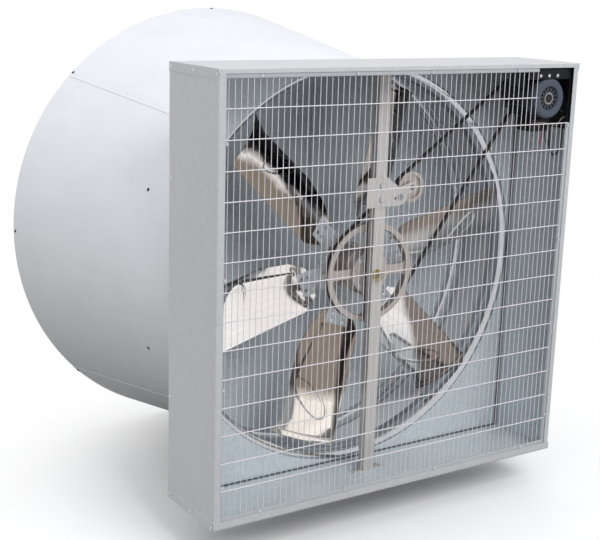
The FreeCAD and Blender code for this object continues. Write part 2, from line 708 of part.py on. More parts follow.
def tangent(start, start_radius, end, end_radius):
    """Outward normal of the straight run between two pulleys, for a loop that turns from +X towards +Z."""
    way = end - start
    share = (start_radius - end_radius) / way.Length
    way.normalize()
    right = V(way.z, 0, -way.x)
    return way * share + right * math.sqrt(1 - share * share)


FAN_WHEEL = V(0, BELT_Y, AXIS_Z)
MOTOR_WHEEL = V(MOTOR_X, BELT_Y, MOTOR_Z)
FAN_WRAP = DRIVE_PULLEY_RADIUS - BELT_HEIGHT
MOTOR_WRAP = MOTOR_PULLEY_RADIUS - BELT_HEIGHT
IDLER_WRAP = IDLER_RADIUS + GAP
SLACK_NORMAL = tangent(MOTOR_WHEEL, MOTOR_WRAP, FAN_WHEEL, FAN_WRAP)
SLACK_WAY = V(-SLACK_NORMAL.z, 0, SLACK_NORMAL.x) * -1
IDLER_WHEEL = (FAN_WHEEL + SLACK_NORMAL * FAN_WRAP + SLACK_WAY * IDLER_ALONG
               + SLACK_NORMAL * (IDLER_PUSH - IDLER_WRAP))
PIVOT = V(IDLER_WHEEL.x - ARM_X, 0, IDLER_WHEEL.z - ARM_Z)


def belt_face(foot, normal):
    across = V(0, 1, 0)
    top = foot + normal * BELT_HEIGHT
    corners = [foot - across * (BELT_FOOT / 2), foot + across * (BELT_FOOT / 2),
               top + across * (BELT_TOP / 2), top - across * (BELT_TOP / 2)]
    return Part.Face(Part.makePolygon(corners + corners[:1]))


def v_belt():
    """Loop round the fan pulley, the motor pulley and the idler: straight runs and wrapped arcs."""
    wheels = [(FAN_WHEEL, FAN_WRAP), (MOTOR_WHEEL, MOTOR_WRAP), (IDLER_WHEEL, IDLER_WRAP)]
    pieces = []
    for i, (wheel, wrap) in enumerate(wheels):
        before, before_wrap = wheels[i - 1]
        after, after_wrap = wheels[(i + 1) % len(wheels)]
        arrive = tangent(before, before_wrap, wheel, wrap)
        leave = tangent(wheel, wrap, after, after_wrap)
        swing = math.degrees(math.atan2(leave.z, leave.x) - math.atan2(arrive.z, arrive.x)) % 360
        pieces.append(belt_face(wheel + arrive * wrap, arrive).revolve(wheel, TURN, swing))
        run = after + leave * after_wrap - wheel - leave * wrap
        pieces.append(belt_face(wheel + leave * wrap, leave).extrude(run))
    return fuse(pieces)


def idler_pulley():
    half, lip = IDLER_WIDTH / 2, BELT_TOP / 2 + 2 * GAP
    rim, bore = IDLER_RADIUS + IDLER_FLANGE, STUD_RADIUS + RUNNING
    wheel = ring([(bore, BELT_Y - half), (rim, BELT_Y - half), (rim, BELT_Y - lip), (IDLER_RADIUS, BELT_Y - lip),
                  (IDLER_RADIUS, BELT_Y + lip), (rim, BELT_Y + lip), (rim, BELT_Y + half), (bore, BELT_Y + half)],
                 IDLER_WHEEL)
    recess = ring([(3 * STUD_RADIUS, BELT_Y - half), (IDLER_RADIUS - IDLER_FLANGE, BELT_Y - half),
                   (IDLER_RADIUS - IDLER_FLANGE, BELT_Y - half / 3), (3 * STUD_RADIUS, BELT_Y - half / 3)],
                  IDLER_WHEEL)
    return wheel.cut(recess)


ARM_BACK = BELT_Y - IDLER_WIDTH / 2 - GAP
ARM_FRONT = ARM_BACK - ARM_WALL


def idler_axle():
    shank = rod(STUD_RADIUS, IDLER_WHEEL, ARM_FRONT, BELT_Y + IDLER_WIDTH / 2 + GAP)
    front = head(V(IDLER_WHEEL.x, ARM_FRONT, IDLER_WHEEL.z), V(0, -1, 0), BOLT_RADIUS, BOLT_HEIGHT)
    rear_y = BELT_Y + IDLER_WIDTH / 2 + GAP
    rear = head(V(IDLER_WHEEL.x, rear_y, IDLER_WHEEL.z), V(0, 1, 0), BOLT_RADIUS, BOLT_HEIGHT)
    return fuse([shank, front, rear])


def tension_arm():
    """Link from the stud to the idler's axle."""
    ends = [rod(ARM_END_RADIUS, centre, ARM_FRONT, ARM_BACK) for centre in (PIVOT, IDLER_WHEEL)]
    way = V(ARM_X, 0, ARM_Z)
    side = V(-ARM_Z, 0, ARM_X) * (ARM_END_RADIUS / way.Length)
    start = V(PIVOT.x, ARM_FRONT, PIVOT.z)
    corners = [start - side, start - side + way, start + side + way, start + side]
    link = Part.Face(Part.makePolygon(corners + corners[:1])).extrude(V(0, ARM_WALL, 0))
    arm = fuse(ends + [link])
    return arm.cut([rod(STUD_RADIUS + RUNNING, PIVOT, ARM_FRONT, ARM_BACK),
                    rod(STUD_RADIUS, IDLER_WHEEL, ARM_FRONT, ARM_BACK)])


def tensioner_plate():
    """Plate bolted on the post's front, tapering to the round end that holds the arm's stud."""
    y0 = POST_FRONT - PLATE_WALL
    left = -POST_WIDTH / 2 - PLATE_LEFT
    low, high = PIVOT.z - PLATE_BELOW, PIVOT.z + PLATE_ABOVE
    corners = [V(left, y0, low), V(PIVOT.x, y0, low), V(PIVOT.x, y0, PIVOT.z + PLATE_END_RADIUS),
               V(POST_WIDTH / 2, y0, high), V(left, y0, high)]
    sheet = Part.Face(Part.makePolygon(corners + corners[:1])).extrude(V(0, PLATE_WALL, 0))
    plate = fuse([sheet, rod(PLATE_END_RADIUS, PIVOT, y0, POST_FRONT)])
    spare = V(PIVOT.x - PLATE_HOLE_X, 0, PIVOT.z - PLATE_HOLE_RADIUS)
    return plate.cut([rod(STUD_RADIUS, PIVOT, y0, POST_FRONT), rod(PLATE_HOLE_RADIUS, spare, y0, POST_FRONT)])


def tensioner_bolts():
    y = POST_FRONT - PLATE_WALL
    middle = PIVOT.z + (PLATE_ABOVE - PLATE_BELOW) / 2
    places = [V(0, y, middle + way * POST_WIDTH / 2) for way in (-1, 1)]
    return Part.makeCompound([head(place, V(0, -1, 0), BOLT_RADIUS, BOLT_HEIGHT) for place in places])


def pivot_stud():
    """Stud through the plate, with a sleeve that holds the arm off the post and a nut behind the arm."""
    y0 = POST_FRONT - PLATE_WALL
    nut_y = ARM_BACK + GAP
    shank = rod(STUD_RADIUS, PIVOT, y0, nut_y)
    front = head(V(PIVOT.x, y0, PIVOT.z), V(0, -1, 0), BOLT_RADIUS, BOLT_HEIGHT)
    sleeve = rod(SLEEVE_RADIUS, PIVOT, POST_FRONT, ARM_FRONT - GAP)
    nut = head(V(PIVOT.x, nut_y, PIVOT.z), V(0, 1, 0), BOLT_RADIUS, BOLT_HEIGHT)
    return fuse([shank, front, sleeve, nut])


# Motor, hung in the top right corner with its tail at the guard's notch

def fan_cowl():
    """Pressed cap with a sloped shoulder and a ring of slots in its end."""
    flat, wall = COWL_RADIUS - COWL_ROUND, COWL_RADIUS - SHEET
    shoulder = TAIL_Y + COWL_ROUND
    inset = SHEET * math.tan(math.radians(22.5))
    cowl = ring([
        (0, TAIL_Y), (flat, TAIL_Y), (COWL_RADIUS, shoulder), (COWL_RADIUS, FRAME_START), (wall, FRAME_START),
        (wall, shoulder + inset), (flat - inset, TAIL_Y + SHEET), (0, TAIL_Y + SHEET),
    ], MOTOR_AXIS)
    slot_half = COWL_ROUND / 4
    slot = box(MOTOR_X + 2 * SHAFT_RADIUS, MOTOR_X + COWL_GRILLE, TAIL_Y, TAIL_Y + SHEET,
               MOTOR_Z - slot_half, MOTOR_Z + slot_half)
    slots = []
    for i in range(COWL_SLOTS):
        slots.append(slot.copy())
        slots[-1].rotate(MOTOR_AXIS, TURN, 360.0 * i / COWL_SLOTS)
    return cowl.cut(slots)


def end_shield(y0, radius):
    bore = SHAFT_RADIUS + RUNNING
    y1 = y0 + SHIELD_WALL
    return ring([(bore, y0), (radius, y0), (radius, y1), (bore, y1)], MOTOR_AXIS)


def motor_frame():
    """Finned stator housing with two feet up to the bracket and a pad down to the terminal box."""
    body = ring([(FRAME_BORE, FRAME_START), (FRAME_RADIUS, FRAME_START), (FRAME_RADIUS, FRAME_END),
                 (FRAME_BORE, FRAME_END)], MOTOR_AXIS)
    fin = box(MOTOR_X + FRAME_RADIUS - FIN_WALL, MOTOR_X + COWL_RADIUS, FRAME_START, FRAME_END,
              MOTOR_Z - FIN_WALL / 2, MOTOR_Z + FIN_WALL / 2)
    pieces = [body]
    for i in range(FINS):
        pieces.append(fin.copy())
        pieces[-1].rotate(MOTOR_AXIS, TURN, 360.0 * (i + 0.5) / FINS)
    foot_top = CEILING - BRACKET_PLATE
    y0, y1 = FRAME_START + SHIELD_WALL, FRAME_END - SHIELD_WALL
    for side in (LEFT, RIGHT):
        x = MOTOR_X + side * FOOT_SPREAD
        pieces.append(box(x - FOOT_WALL / 2, x + FOOT_WALL / 2, y0, y1, MOTOR_Z + FRAME_RADIUS / 2, foot_top))
        pieces.append(box(x - 2 * FOOT_WALL, x + 2 * FOOT_WALL, y0, y1, foot_top - FOOT_PAD, foot_top))
    pad_top = MOTOR_Z - FRAME_BORE - FIN_WALL
    pieces.append(box(MOTOR_X - BOX_HALF / 2, MOTOR_X + BOX_HALF / 2, y0, y1, BOX_TOP, pad_top))
    return fuse(pieces)


def motor_rotor():
    core_start = FRAME_START + (FRAME_LENGTH - ROTOR_LENGTH) / 2
    shaft = rod(SHAFT_RADIUS, MOTOR_AXIS, TAIL_Y + COWL_ROUND / 2, BELT_Y + MOTOR_PULLEY_WIDTH / 2)
    return fuse([shaft, rod(ROTOR_RADIUS, MOTOR_AXIS, core_start, core_start + ROTOR_LENGTH)])


def cooling_fan():
    y0 = TAIL_Y + COWL_ROUND
    y1 = FRAME_START - SHIELD_WALL - SHIELD_WALL / 2
    hub_radius = SHAFT_RADIUS * 1.5
    vane = box(MOTOR_X + SHAFT_RADIUS + SHEET, MOTOR_X + COWL_RADIUS - COWL_ROUND, y0, y1,
               MOTOR_Z - SHEET, MOTOR_Z + SHEET)
    pieces = [rod(hub_radius, MOTOR_AXIS, y0, y1)]
    for i in range(FAN_VANES):
        pieces.append(vane.copy())
        pieces[-1].rotate(MOTOR_AXIS, TURN, 360.0 * i / FAN_VANES)
    return fuse(pieces).cut(rod(SHAFT_RADIUS, MOTOR_AXIS, y0, y1))


def motor_pulley():
    half = MOTOR_PULLEY_WIDTH / 2
    return ring([(SHAFT_RADIUS, BELT_Y - half), (MOTOR_PULLEY_RADIUS, BELT_Y - half)] + groove(MOTOR_PULLEY_RADIUS)
                + [(MOTOR_PULLEY_RADIUS, BELT_Y + half), (SHAFT_RADIUS, BELT_Y + half)], MOTOR_AXIS)


LIP_FRONT = TAIL_Y + SHEET
LEG_X = SIDE_INNER - BRACKET_PLATE


def motor_bracket():
    """Angle in the corner: a top leg for the motor's feet, a side leg on the wall, and stiffening lips."""
    left, under = MOTOR_X - BRACKET_LEFT, CEILING - BRACKET_PLATE
    low = MOTOR_Z - BRACKET_DROP
    lip_back = LIP_FRONT + BRACKET_PLATE
    top = box(left, SIDE_INNER, LIP_FRONT, FRAME_END, under, CEILING)
    leg = box(LEG_X, SIDE_INNER, LIP_FRONT, FRAME_END, low, under)
    top_lip = box(left, LEG_X, LIP_FRONT, lip_back, under - BRACKET_LIP, under)
    side_lip = box(LEG_X - BRACKET_SIDE_LIP, LEG_X, LIP_FRONT, lip_back, low, under - BRACKET_LIP)
    return fuse([top, leg, top_lip, side_lip])


def motor_bolts():
    """Bolts through the feet, three heads on the bracket's top lip, and one on its side leg."""
    bolts = []
    pad_under = CEILING - BRACKET_PLATE - FOOT_PAD
    y0, y1 = FRAME_START + SHIELD_WALL, FRAME_END - SHIELD_WALL
    for side in (LEFT, RIGHT):
        x = MOTOR_X + side * (FOOT_SPREAD + FOOT_WALL * 1.25)
        for y in (y0 + 2 * BOLT_RADIUS, y1 - 2 * BOLT_RADIUS):
            bolts.append(head(V(x, y, pad_under), V(0, 0, -1), BOLT_RADIUS * 0.8, BOLT_HEIGHT))
    lip_z = CEILING - BRACKET_PLATE - BRACKET_LIP * 0.75
    for share in (-0.95, -0.2, 0.55):
        place = V(MOTOR_X + share * FOOT_SPREAD, LIP_FRONT, lip_z)
        bolts.append(head(place, V(0, -1, 0), SCREW_RADIUS, SCREW_HEIGHT))
    place = V(LEG_X, FRAME_START, MOTOR_Z - BRACKET_LIP)
    bolts.append(head(place, V(-1, 0, 0), SCREW_RADIUS, SCREW_HEIGHT))
    return Part.makeCompound(bolts)


def terminal_box():
    shell = box(MOTOR_X - BOX_HALF, MOTOR_X + BOX_HALF, BOX_FRONT, BOX_FRONT + BOX_LENGTH,
                BOX_TOP - BOX_HEIGHT, BOX_TOP)
    upright = [e for e in shell.Edges if abs(e.Vertexes[0].Z - e.Vertexes[1].Z) > BOX_HEIGHT / 2]
    return shell.makeFillet(FIN_WALL * 2, upright)


LEAD_X = MOTOR_X + BOX_HALF / 2
LEAD_Z = BOX_TOP - BOX_HEIGHT / 2
GROMMET_X = LEG_X - GLAND_LENGTH
GROMMET_Y = BOX_FRONT - GLAND_LENGTH * 2
THIN_X = MOTOR_X - BOX_HALF * 0.75


def cable_glands():
    """Gland on the terminal box for the motor lead, and two grommets on the bracket's side leg."""
    gland = head(V(LEAD_X, BOX_FRONT, LEAD_Z), V(0, -1, 0), GLAND_RADIUS, GLAND_LENGTH, 8)
    pieces = [gland]
    for z in (LEAD_Z, LEAD_Z + 3 * GLAND_RADIUS):
        pieces.append(head(V(LEG_X, GROMMET_Y, z), V(-1, 0, 0), GLAND_RADIUS, GLAND_LENGTH, 8))
    return Part.makeCompound(pieces)


# Leads: straight runs joined by arcs as large as the runs allow

LEAD_RADIUS = 4.0
THIN_RADIUS = 2.0
LOOSE_RADIUS = 1.5


def cord(name, points, radius, sides):
    """Faceted tube along a route; prints its bend radii and compares its volume with its length."""
    edges, bends, at = [], [], points[0]
    for i in range(1, len(points) - 1):
        arriving, leaving = points[i] - points[i - 1], points[i + 1] - points[i]
        trim = 0.45 * min(arriving.Length, leaving.Length)
        half_turn = arriving.getAngle(leaving) / 2
        bends.append(trim / math.tan(half_turn))
        arriving.normalize()
        leaving.normalize()
        begin, end = points[i] - arriving * trim, points[i] + leaving * trim
        inward = leaving - arriving
        inward.normalize()
        sink = bends[-1] / math.cos(half_turn) - bends[-1]
        edges += [line(at, begin), arc(begin, points[i] + inward * sink, end)]
        at = end
    edges.append(line(at, points[-1]))
    path = Part.Wire(edges)
    way = points[1] - points[0]
    way.normalize()
    section = head(points[0], way, radius, 1, sides).Faces
    start = min(section, key=lambda face: (face.CenterOfMass - points[0]).Length).OuterWire
    tube = path.makePipeShell([start], True, False)
    share = tube.Volume / (Part.Face(start).Area * path.Length)
    print(name, "length", round(path.Length, 1), "bend radii", [round(b, 1) for b in bends], "volume", round(share, 4))
    return tube


def motor_lead():
    """Thick lead from the gland, down in a loop and up to the bracket's side leg."""
    y = BOX_FRONT - GLAND_LENGTH
    route = [V(LEAD_X, y, LEAD_Z), V(LEAD_X, y - 14, LEAD_Z), V(LEAD_X + 1, y - 17, LEAD_Z - 24),
             V(LEAD_X + 2, y - 16, LEAD_Z - 62), V(LEAD_X + 13, y - 14, LEAD_Z - 92),
             V(LEAD_X + 33, y - 13, LEAD_Z - 102), V(LEAD_X + 53, y - 13, LEAD_Z - 91),
             V(LEAD_X + 62, y - 12, LEAD_Z - 58), V(LEAD_X + 60, y - 11, LEAD_Z - 22),
             V(GROMMET_X - 15, GROMMET_Y, LEAD_Z), V(GROMMET_X, GROMMET_Y, LEAD_Z)]
    return cord("motor_lead", route, LEAD_RADIUS, 6)


def thin_lead():
    """Thin lead from the terminal box, round below the cowl to the upper grommet."""
    z, end = LEAD_Z + 9, LEAD_Z + 3 * GLAND_RADIUS
    route = [V(THIN_X, BOX_FRONT, z), V(THIN_X, BOX_FRONT - 12, z), V(THIN_X + 14, BOX_FRONT - 22, z + 3),
             V(THIN_X + 38, BOX_FRONT - 24, z), V(THIN_X + 66, BOX_FRONT - 22, z - 8),
             V(THIN_X + 92, BOX_FRONT - 20, z - 10), V(GROMMET_X - 20, GROMMET_Y, end),
             V(GROMMET_X, GROMMET_Y, end)]
    return cord("thin_lead", route, THIN_RADIUS, 6)


def loose_wire(shift, lean):
    """Short stripped tail that hangs from the underside of the terminal box."""
    x, y, z = MOTOR_X + shift, BOX_FRONT + GLAND_LENGTH, BOX_TOP - BOX_HEIGHT
    route = [V(x, y, z), V(x + lean * 0.5, y, z - 13), V(x + lean * 5, y - 1, z - 30),
             V(x + lean * 14, y - 1, z - 47)]
    return cord("loose wire", route, LOOSE_RADIUS, 6)


# Every piece by name, written as one file each

pieces = {
    "left_side_panel": side_panel(LEFT),
    "right_side_panel": side_panel(RIGHT),
    "top_panel": top_panel(),
    "bottom_panel": bottom_panel(),
    "back_panel": back_panel(),
    "orifice_ring": orifice_ring(),
    "panel_rivets": panel_rivets(),
    "intake_guard": intake_guard(),
    "guard_screws": guard_screws(),
    "cone_rim_hoop": cone_rim_hoop(),
    "cone_screws": cone_screws(),
    "shutter_ring": shutter_ring(),
    "shutter_post": shutter_post(),
    "hinge_pins": hinge_pins(),
    "left_shutter_door": shutter_door(LEFT),
    "right_shutter_door": shutter_door(RIGHT),
    "centre_post": centre_post(),
    "post_bolts": post_bolts(),
    "fan_axle": fan_axle(),
    "axle_nuts": axle_nuts(),
    "axle_spacer": axle_spacer(),
    "hub": hub(),
    "hub_bearings": hub_bearings(),
    "spider": spider(),
    "drive_pulley": drive_pulley(),
    "pulley_bolts": pulley_bolts(),
    "v_belt": v_belt(),
    "tensioner_plate": tensioner_plate(),
    "tensioner_bolts": tensioner_bolts(),
    "pivot_stud": pivot_stud(),
    "tension_arm": tension_arm(),
    "idler_pulley": idler_pulley(),
    "idler_axle": idler_axle(),
    "motor_frame": motor_frame(),
    "drive_end_shield": end_shield(FRAME_END, FRAME_RADIUS),
    "tail_end_shield": end_shield(FRAME_START - SHIELD_WALL, COWL_RADIUS - SHEET),
    "fan_cowl": fan_cowl(),
    "motor_rotor": motor_rotor(),
    "cooling_fan": cooling_fan(),
    "motor_pulley": motor_pulley(),
    "motor_bracket": motor_bracket(),
    "motor_bolts": motor_bolts(),
    "terminal_box": terminal_box(),
    "cable_glands": cable_glands(),
    "motor_lead": motor_lead(),
    "thin_lead": thin_lead(),
    "red_loose_wire": loose_wire(BOX_HALF / 2, -1),
    "black_loose_wire": loose_wire(BOX_HALF * 0.75, 1),
}
for number in range(CONE_SHEETS):
    pieces["cone_sheet_%d" % (number + 1)] = cone_sheet(number)
for number, shape in enumerate(around(blade(), BLADES, BLADE_PHASE)):
    pieces["blade_%d" % (number + 1)] = shape
pieces["blade_brackets"] = Part.makeCompound(around(blade_bracket(), BLADES, BLADE_PHASE))
pieces["bracket_bolts"] = Part.makeCompound(around(bracket_bolts(), BLADES, BLADE_PHASE))

os.makedirs("parts", exist_ok=True)
for name, shape in pieces.items():
    shape.exportStep("parts/%s.step" % name)
print(len(pieces), "pieces")
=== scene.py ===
from math import atan, atan2, cos, exp, hypot, pi, radians, sin, sqrt

import bmesh
import bpy
from mathutils import Matrix, Vector


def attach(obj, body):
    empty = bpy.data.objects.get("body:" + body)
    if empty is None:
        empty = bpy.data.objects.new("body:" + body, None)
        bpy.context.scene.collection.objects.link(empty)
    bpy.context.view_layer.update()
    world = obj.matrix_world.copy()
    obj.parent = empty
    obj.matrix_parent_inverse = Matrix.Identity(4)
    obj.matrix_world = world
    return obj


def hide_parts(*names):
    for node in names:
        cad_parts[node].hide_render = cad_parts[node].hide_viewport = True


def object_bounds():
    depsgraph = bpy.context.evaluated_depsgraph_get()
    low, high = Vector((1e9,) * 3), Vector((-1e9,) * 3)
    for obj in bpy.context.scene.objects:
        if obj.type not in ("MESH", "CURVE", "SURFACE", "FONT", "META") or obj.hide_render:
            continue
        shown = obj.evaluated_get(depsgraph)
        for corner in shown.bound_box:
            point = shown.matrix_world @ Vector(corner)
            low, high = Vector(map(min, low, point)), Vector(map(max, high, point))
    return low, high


# Packed model
# The solids of the fan load as a fixed frame in metres: air enters at the guard, on -Y, and leaves
# through the cone along +Y, with the middle of the housing's underside at the origin.
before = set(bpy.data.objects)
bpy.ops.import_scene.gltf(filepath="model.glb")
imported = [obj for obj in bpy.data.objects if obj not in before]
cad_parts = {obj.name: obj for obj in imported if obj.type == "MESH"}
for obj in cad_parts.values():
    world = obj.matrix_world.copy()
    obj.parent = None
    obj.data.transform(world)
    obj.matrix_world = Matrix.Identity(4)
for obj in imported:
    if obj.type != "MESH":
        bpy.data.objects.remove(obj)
cad_box = [list(corner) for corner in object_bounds()]

# Camera
# It stands in front of the intake and to its left, a little above the middle of the housing,
# with a 71 mm lens on a 36 mm frame, tipped down by 14 degrees and rolled by under two.
azimuth, elevation, roll = radians(-33.217), radians(13.608), radians(-1.705)
ahead = Vector((-sin(azimuth) * cos(elevation), cos(azimuth) * cos(elevation), -sin(elevation)))
level = ahead.cross(Vector((0, 0, 1))).normalized()
under = ahead.cross(level)
across = level * cos(roll) + under * sin(roll)
upward = level * sin(roll) - under * cos(roll)
lens = bpy.data.cameras.new("camera")
lens.sensor_fit = "HORIZONTAL"
lens.sensor_width = 36.0
lens.lens = 71.2038
lens.clip_end = 100.0
camera = bpy.data.objects.new("camera", lens)
camera.matrix_world = Matrix((across, upward, -ahead)).transposed().to_4x4()
camera.location = (-2.28666, -3.02265, 1.61504)
bpy.context.scene.collection.objects.link(camera)
bpy.context.scene.camera = camera

# Motor leads
# A thick sheathed lead hangs in a loop from the terminal box's gland to a grommet on the bracket, a thin
# one crosses below the cowl, and two short single wires hang loose under the box. All are extruded PVC.


def linear(code):
    """Linear colour of an sRGB hex value."""
    shares = [int(code[i:i + 2], 16) / 255 for i in (1, 3, 5)]
    return tuple(s / 12.92 if s <= 0.04045 else ((s + 0.055) / 1.055) ** 2.4 for s in shares) + (1.0,)


def add_node(material, kind, inputs=None, **settings):
    """Add a node with its settings; an input that is given a socket is linked, and any other is set."""
    made = material.node_tree.nodes.new(kind)
    for name, value in settings.items():
        setattr(made, name, value)
    for name, value in (inputs or {}).items():
        if isinstance(value, bpy.types.NodeSocket):
            material.node_tree.links.new(value, made.inputs[name])
        else:
            made.inputs[name].default_value = value
    return made


def mottled(name, dark, pale, grain_mm, metallic, rough, relief_mm, crystals=False, drawn=(1, 1, 1),
            shine=0.5):
    """Material of two close shades in a pattern of one grain size, with broad clouds over it.

    The same pattern sets how the sheen and the relief vary; drawn stretches it along an axis."""
    material = bpy.data.materials.new(name)
    material.use_nodes = True
    shader = material.node_tree.nodes["Principled BSDF"]
    shader.inputs["Metallic"].default_value = metallic
    shader.inputs["Specular IOR Level"].default_value = shine
    place = add_node(material, "ShaderNodeTexCoord")
    spacing = [1000 / (grain_mm * along) for along in drawn]
    fitted = add_node(material, "ShaderNodeMapping", {"Vector": place.outputs["Object"], "Scale": spacing})
    grain = add_node(material, "ShaderNodeTexNoise",
                     {"Vector": fitted.outputs["Vector"], "Scale": 1.0, "Detail": 5.0, "Roughness": 0.6})
    fine = grain.outputs[0]
    if crystals:
        cells = add_node(material, "ShaderNodeTexVoronoi", {"Vector": fitted.outputs["Vector"], "Scale": 1.0})
        fine = cells.outputs["Color"]
    clouds = add_node(material, "ShaderNodeTexNoise",
                      {"Vector": place.outputs["Object"], "Scale": 1000 / 260, "Detail": 3.0})
    share = add_node(material, "ShaderNodeMath", {0: fine, 1: 0.6}, operation="MULTIPLY")
    both = add_node(material, "ShaderNodeMath",
                    {0: clouds.outputs[0], 1: 0.4, 2: share.outputs[0]}, operation="MULTIPLY_ADD")
    shade = add_node(material, "ShaderNodeValToRGB", {"Fac": both.outputs[0]})
    shade.color_ramp.elements[0].position = 0.28
    shade.color_ramp.elements[1].position = 0.72
    shade.color_ramp.elements[0].color = linear(dark)
    shade.color_ramp.elements[1].color = linear(pale)
    sheen = add_node(material, "ShaderNodeMapRange", {
        "Value": both.outputs[0], "From Min": 0.28, "From Max": 0.72, "To Min": rough[0], "To Max": rough[1]})
    bump = add_node(material, "ShaderNodeBump", {"Height": grain.outputs[0], "Distance": relief_mm / 1000})
    material.node_tree.links.new(shade.outputs["Color"], shader.inputs["Base Color"])
    material.node_tree.links.new(sheen.outputs["Result"], shader.inputs["Roughness"])
    material.node_tree.links.new(bump.outputs["Normal"], shader.inputs["Normal"])
    return material


# Extruded PVC: even and smooth, with a soft shine broken by handling marks a few millimetres across
black_sheath = mottled("pvc_sheath_black", "#141415", "#232326", 3.0, 0.0, (0.38, 0.52), 0.08)
dusty_sheath = mottled("pvc_sheath_dusty", "#57514A", "#6E675E", 3.0, 0.0, (0.5, 0.62), 0.08)
red_insulation = mottled("pvc_insulation_red", "#8E1416", "#B3211F", 3.0, 0.0, (0.3, 0.42), 0.05)
motor_lead_route = [
    (0.595, -0.113, 1.172), (0.595, -0.127, 1.172), (0.596, -0.130, 1.148), (0.597, -0.129, 1.110),
    (0.608, -0.127, 1.080), (0.628, -0.126, 1.070), (0.648, -0.126, 1.081), (0.657, -0.125, 1.114),
    (0.655, -0.124, 1.150), (0.660, -0.122, 1.172), (0.675, -0.122, 1.172),
]
thin_lead_route = [
    (0.5425, -0.104, 1.181), (0.5425, -0.116, 1.181), (0.5565, -0.126, 1.184), (0.5805, -0.128, 1.181),
    (0.6085, -0.126, 1.173), (0.6345, -0.124, 1.171), (0.655, -0.122, 1.199), (0.675, -0.122, 1.199),
]
red_wire_route = [
    (0.595, -0.095, 1.151), (0.5945, -0.095, 1.138), (0.590, -0.096, 1.121), (0.581, -0.096, 1.104),
]
black_wire_route = [
    (0.6055, -0.095, 1.151), (0.606, -0.095, 1.138), (0.6105, -0.096, 1.121), (0.6195, -0.096, 1.104),
]
for name, route, diameter, length, far_end, material, slot in (
    ("motor_lead", motor_lead_route, 0.008, 0.2526, "object", black_sheath, "cable_black"),
    ("thin_lead", thin_lead_route, 0.004, 0.1589, "object", dusty_sheath, "cable_black"),
    ("red_loose_wire", red_wire_route, 0.003, 0.0497, "bare", red_insulation, "wire_red"),
    ("black_loose_wire", black_wire_route, 0.003, 0.0497, "bare", black_sheath, "cable_black"),
):
    line = bpy.data.curves.new(name + "_line", "CURVE")
    line.dimensions = "3D"
    line.bevel_depth = diameter / 2
    line.bevel_resolution = 4
    line.use_fill_caps = True
    run = line.splines.new("NURBS")
    run.points.add(len(route) - 1)
    for point, spot in zip(run.points, route):
        point.co = (*spot, 1.0)
    run.order_u = 3
    run.use_endpoint_u = True
    run.resolution_u = 12
    line.materials.append(material)
    cord = bpy.data.objects.new(name + "_cord", line)
    bpy.context.scene.collection.objects.link(cord)
    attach(cord, "housing")
    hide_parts(name)

# Housing panels
# Four folded sheets of galvanised steel with a fine spangle, lapped at the corners and turned in at the
# front as narrow lips, and a flanged back panel; the outer bends are rounded by the folding press.


def piece(bm, name, body, material, replaced=(), sharp=40.0):
    """Make a finished mesh an object that rides on a body, in place of the solids that it stands for."""
    mesh = bpy.data.meshes.new(name)
    bm.to_mesh(mesh)
    bm.free()
    if "custom_normal" in mesh.attributes:
        mesh.attributes.remove(mesh.attributes["custom_normal"])
    mesh.polygons.foreach_set("use_smooth", [True] * len(mesh.polygons))
    mesh.set_sharp_from_angle(angle=radians(sharp))
    mesh.materials.append(material)
    made = bpy.data.objects.new(name, mesh)
    bpy.context.scene.collection.objects.link(made)
    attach(made, body)
    if replaced:
        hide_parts(*replaced)
    return made


def dress(material, *nodes):
    """Give solids that keep their shape a finish of their own."""
    for node in nodes:
        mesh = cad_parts[node].data
        mesh.materials.clear()
        mesh.materials.append(material)


def prism(bm, outline, way):
    """Solid that an outline of points sweeps along a straight way; gives its faces."""
    end = bm.faces.new([bm.verts.new(spot) for spot in outline])
    swept = bmesh.ops.extrude_face_region(bm, geom=[end])["geom"]
    bmesh.ops.translate(bm, vec=way, verts=[g for g in swept if isinstance(g, bmesh.types.BMVert)])
    return [end] + [g for v in swept if isinstance(v, bmesh.types.BMVert) for g in v.link_faces]


# Half the housing's width, the sheet's thickness, the front face, and where the straight part of a sheet ends
HALF, SHEET, FRONT, FOLD_START = 0.690, 0.0015, -0.150, -0.120


def front_fold(lip, bend):
    """Section of a sheet's front, as places (in from the outer face, y), with its bend and its lip."""
    turns = [radians(7.5 * step) for step in range(13)]
    outer = [(bend - bend * cos(t), FRONT + bend - bend * sin(t)) for t in turns]
    inner = [(bend - (bend - SHEET) * cos(t), FRONT + bend - (bend - SHEET) * sin(t)) for t in turns]
    edge = [(lip, FRONT), (lip, FRONT + SHEET)]
    return [(0.0, FOLD_START)] + outer + edge + inner[::-1] + [(SHEET, FOLD_START)]


# Hot-dip galvanised sheet: soft grey, with zinc crystals about 9 mm across that differ a little in shade
spangled_sheet = mottled("galvanised_sheet_spangled", "#AFB1B3", "#B7B9BB", 9.0, 0.15, (0.36, 0.48), 0.01,
                         True, shine=0.3)
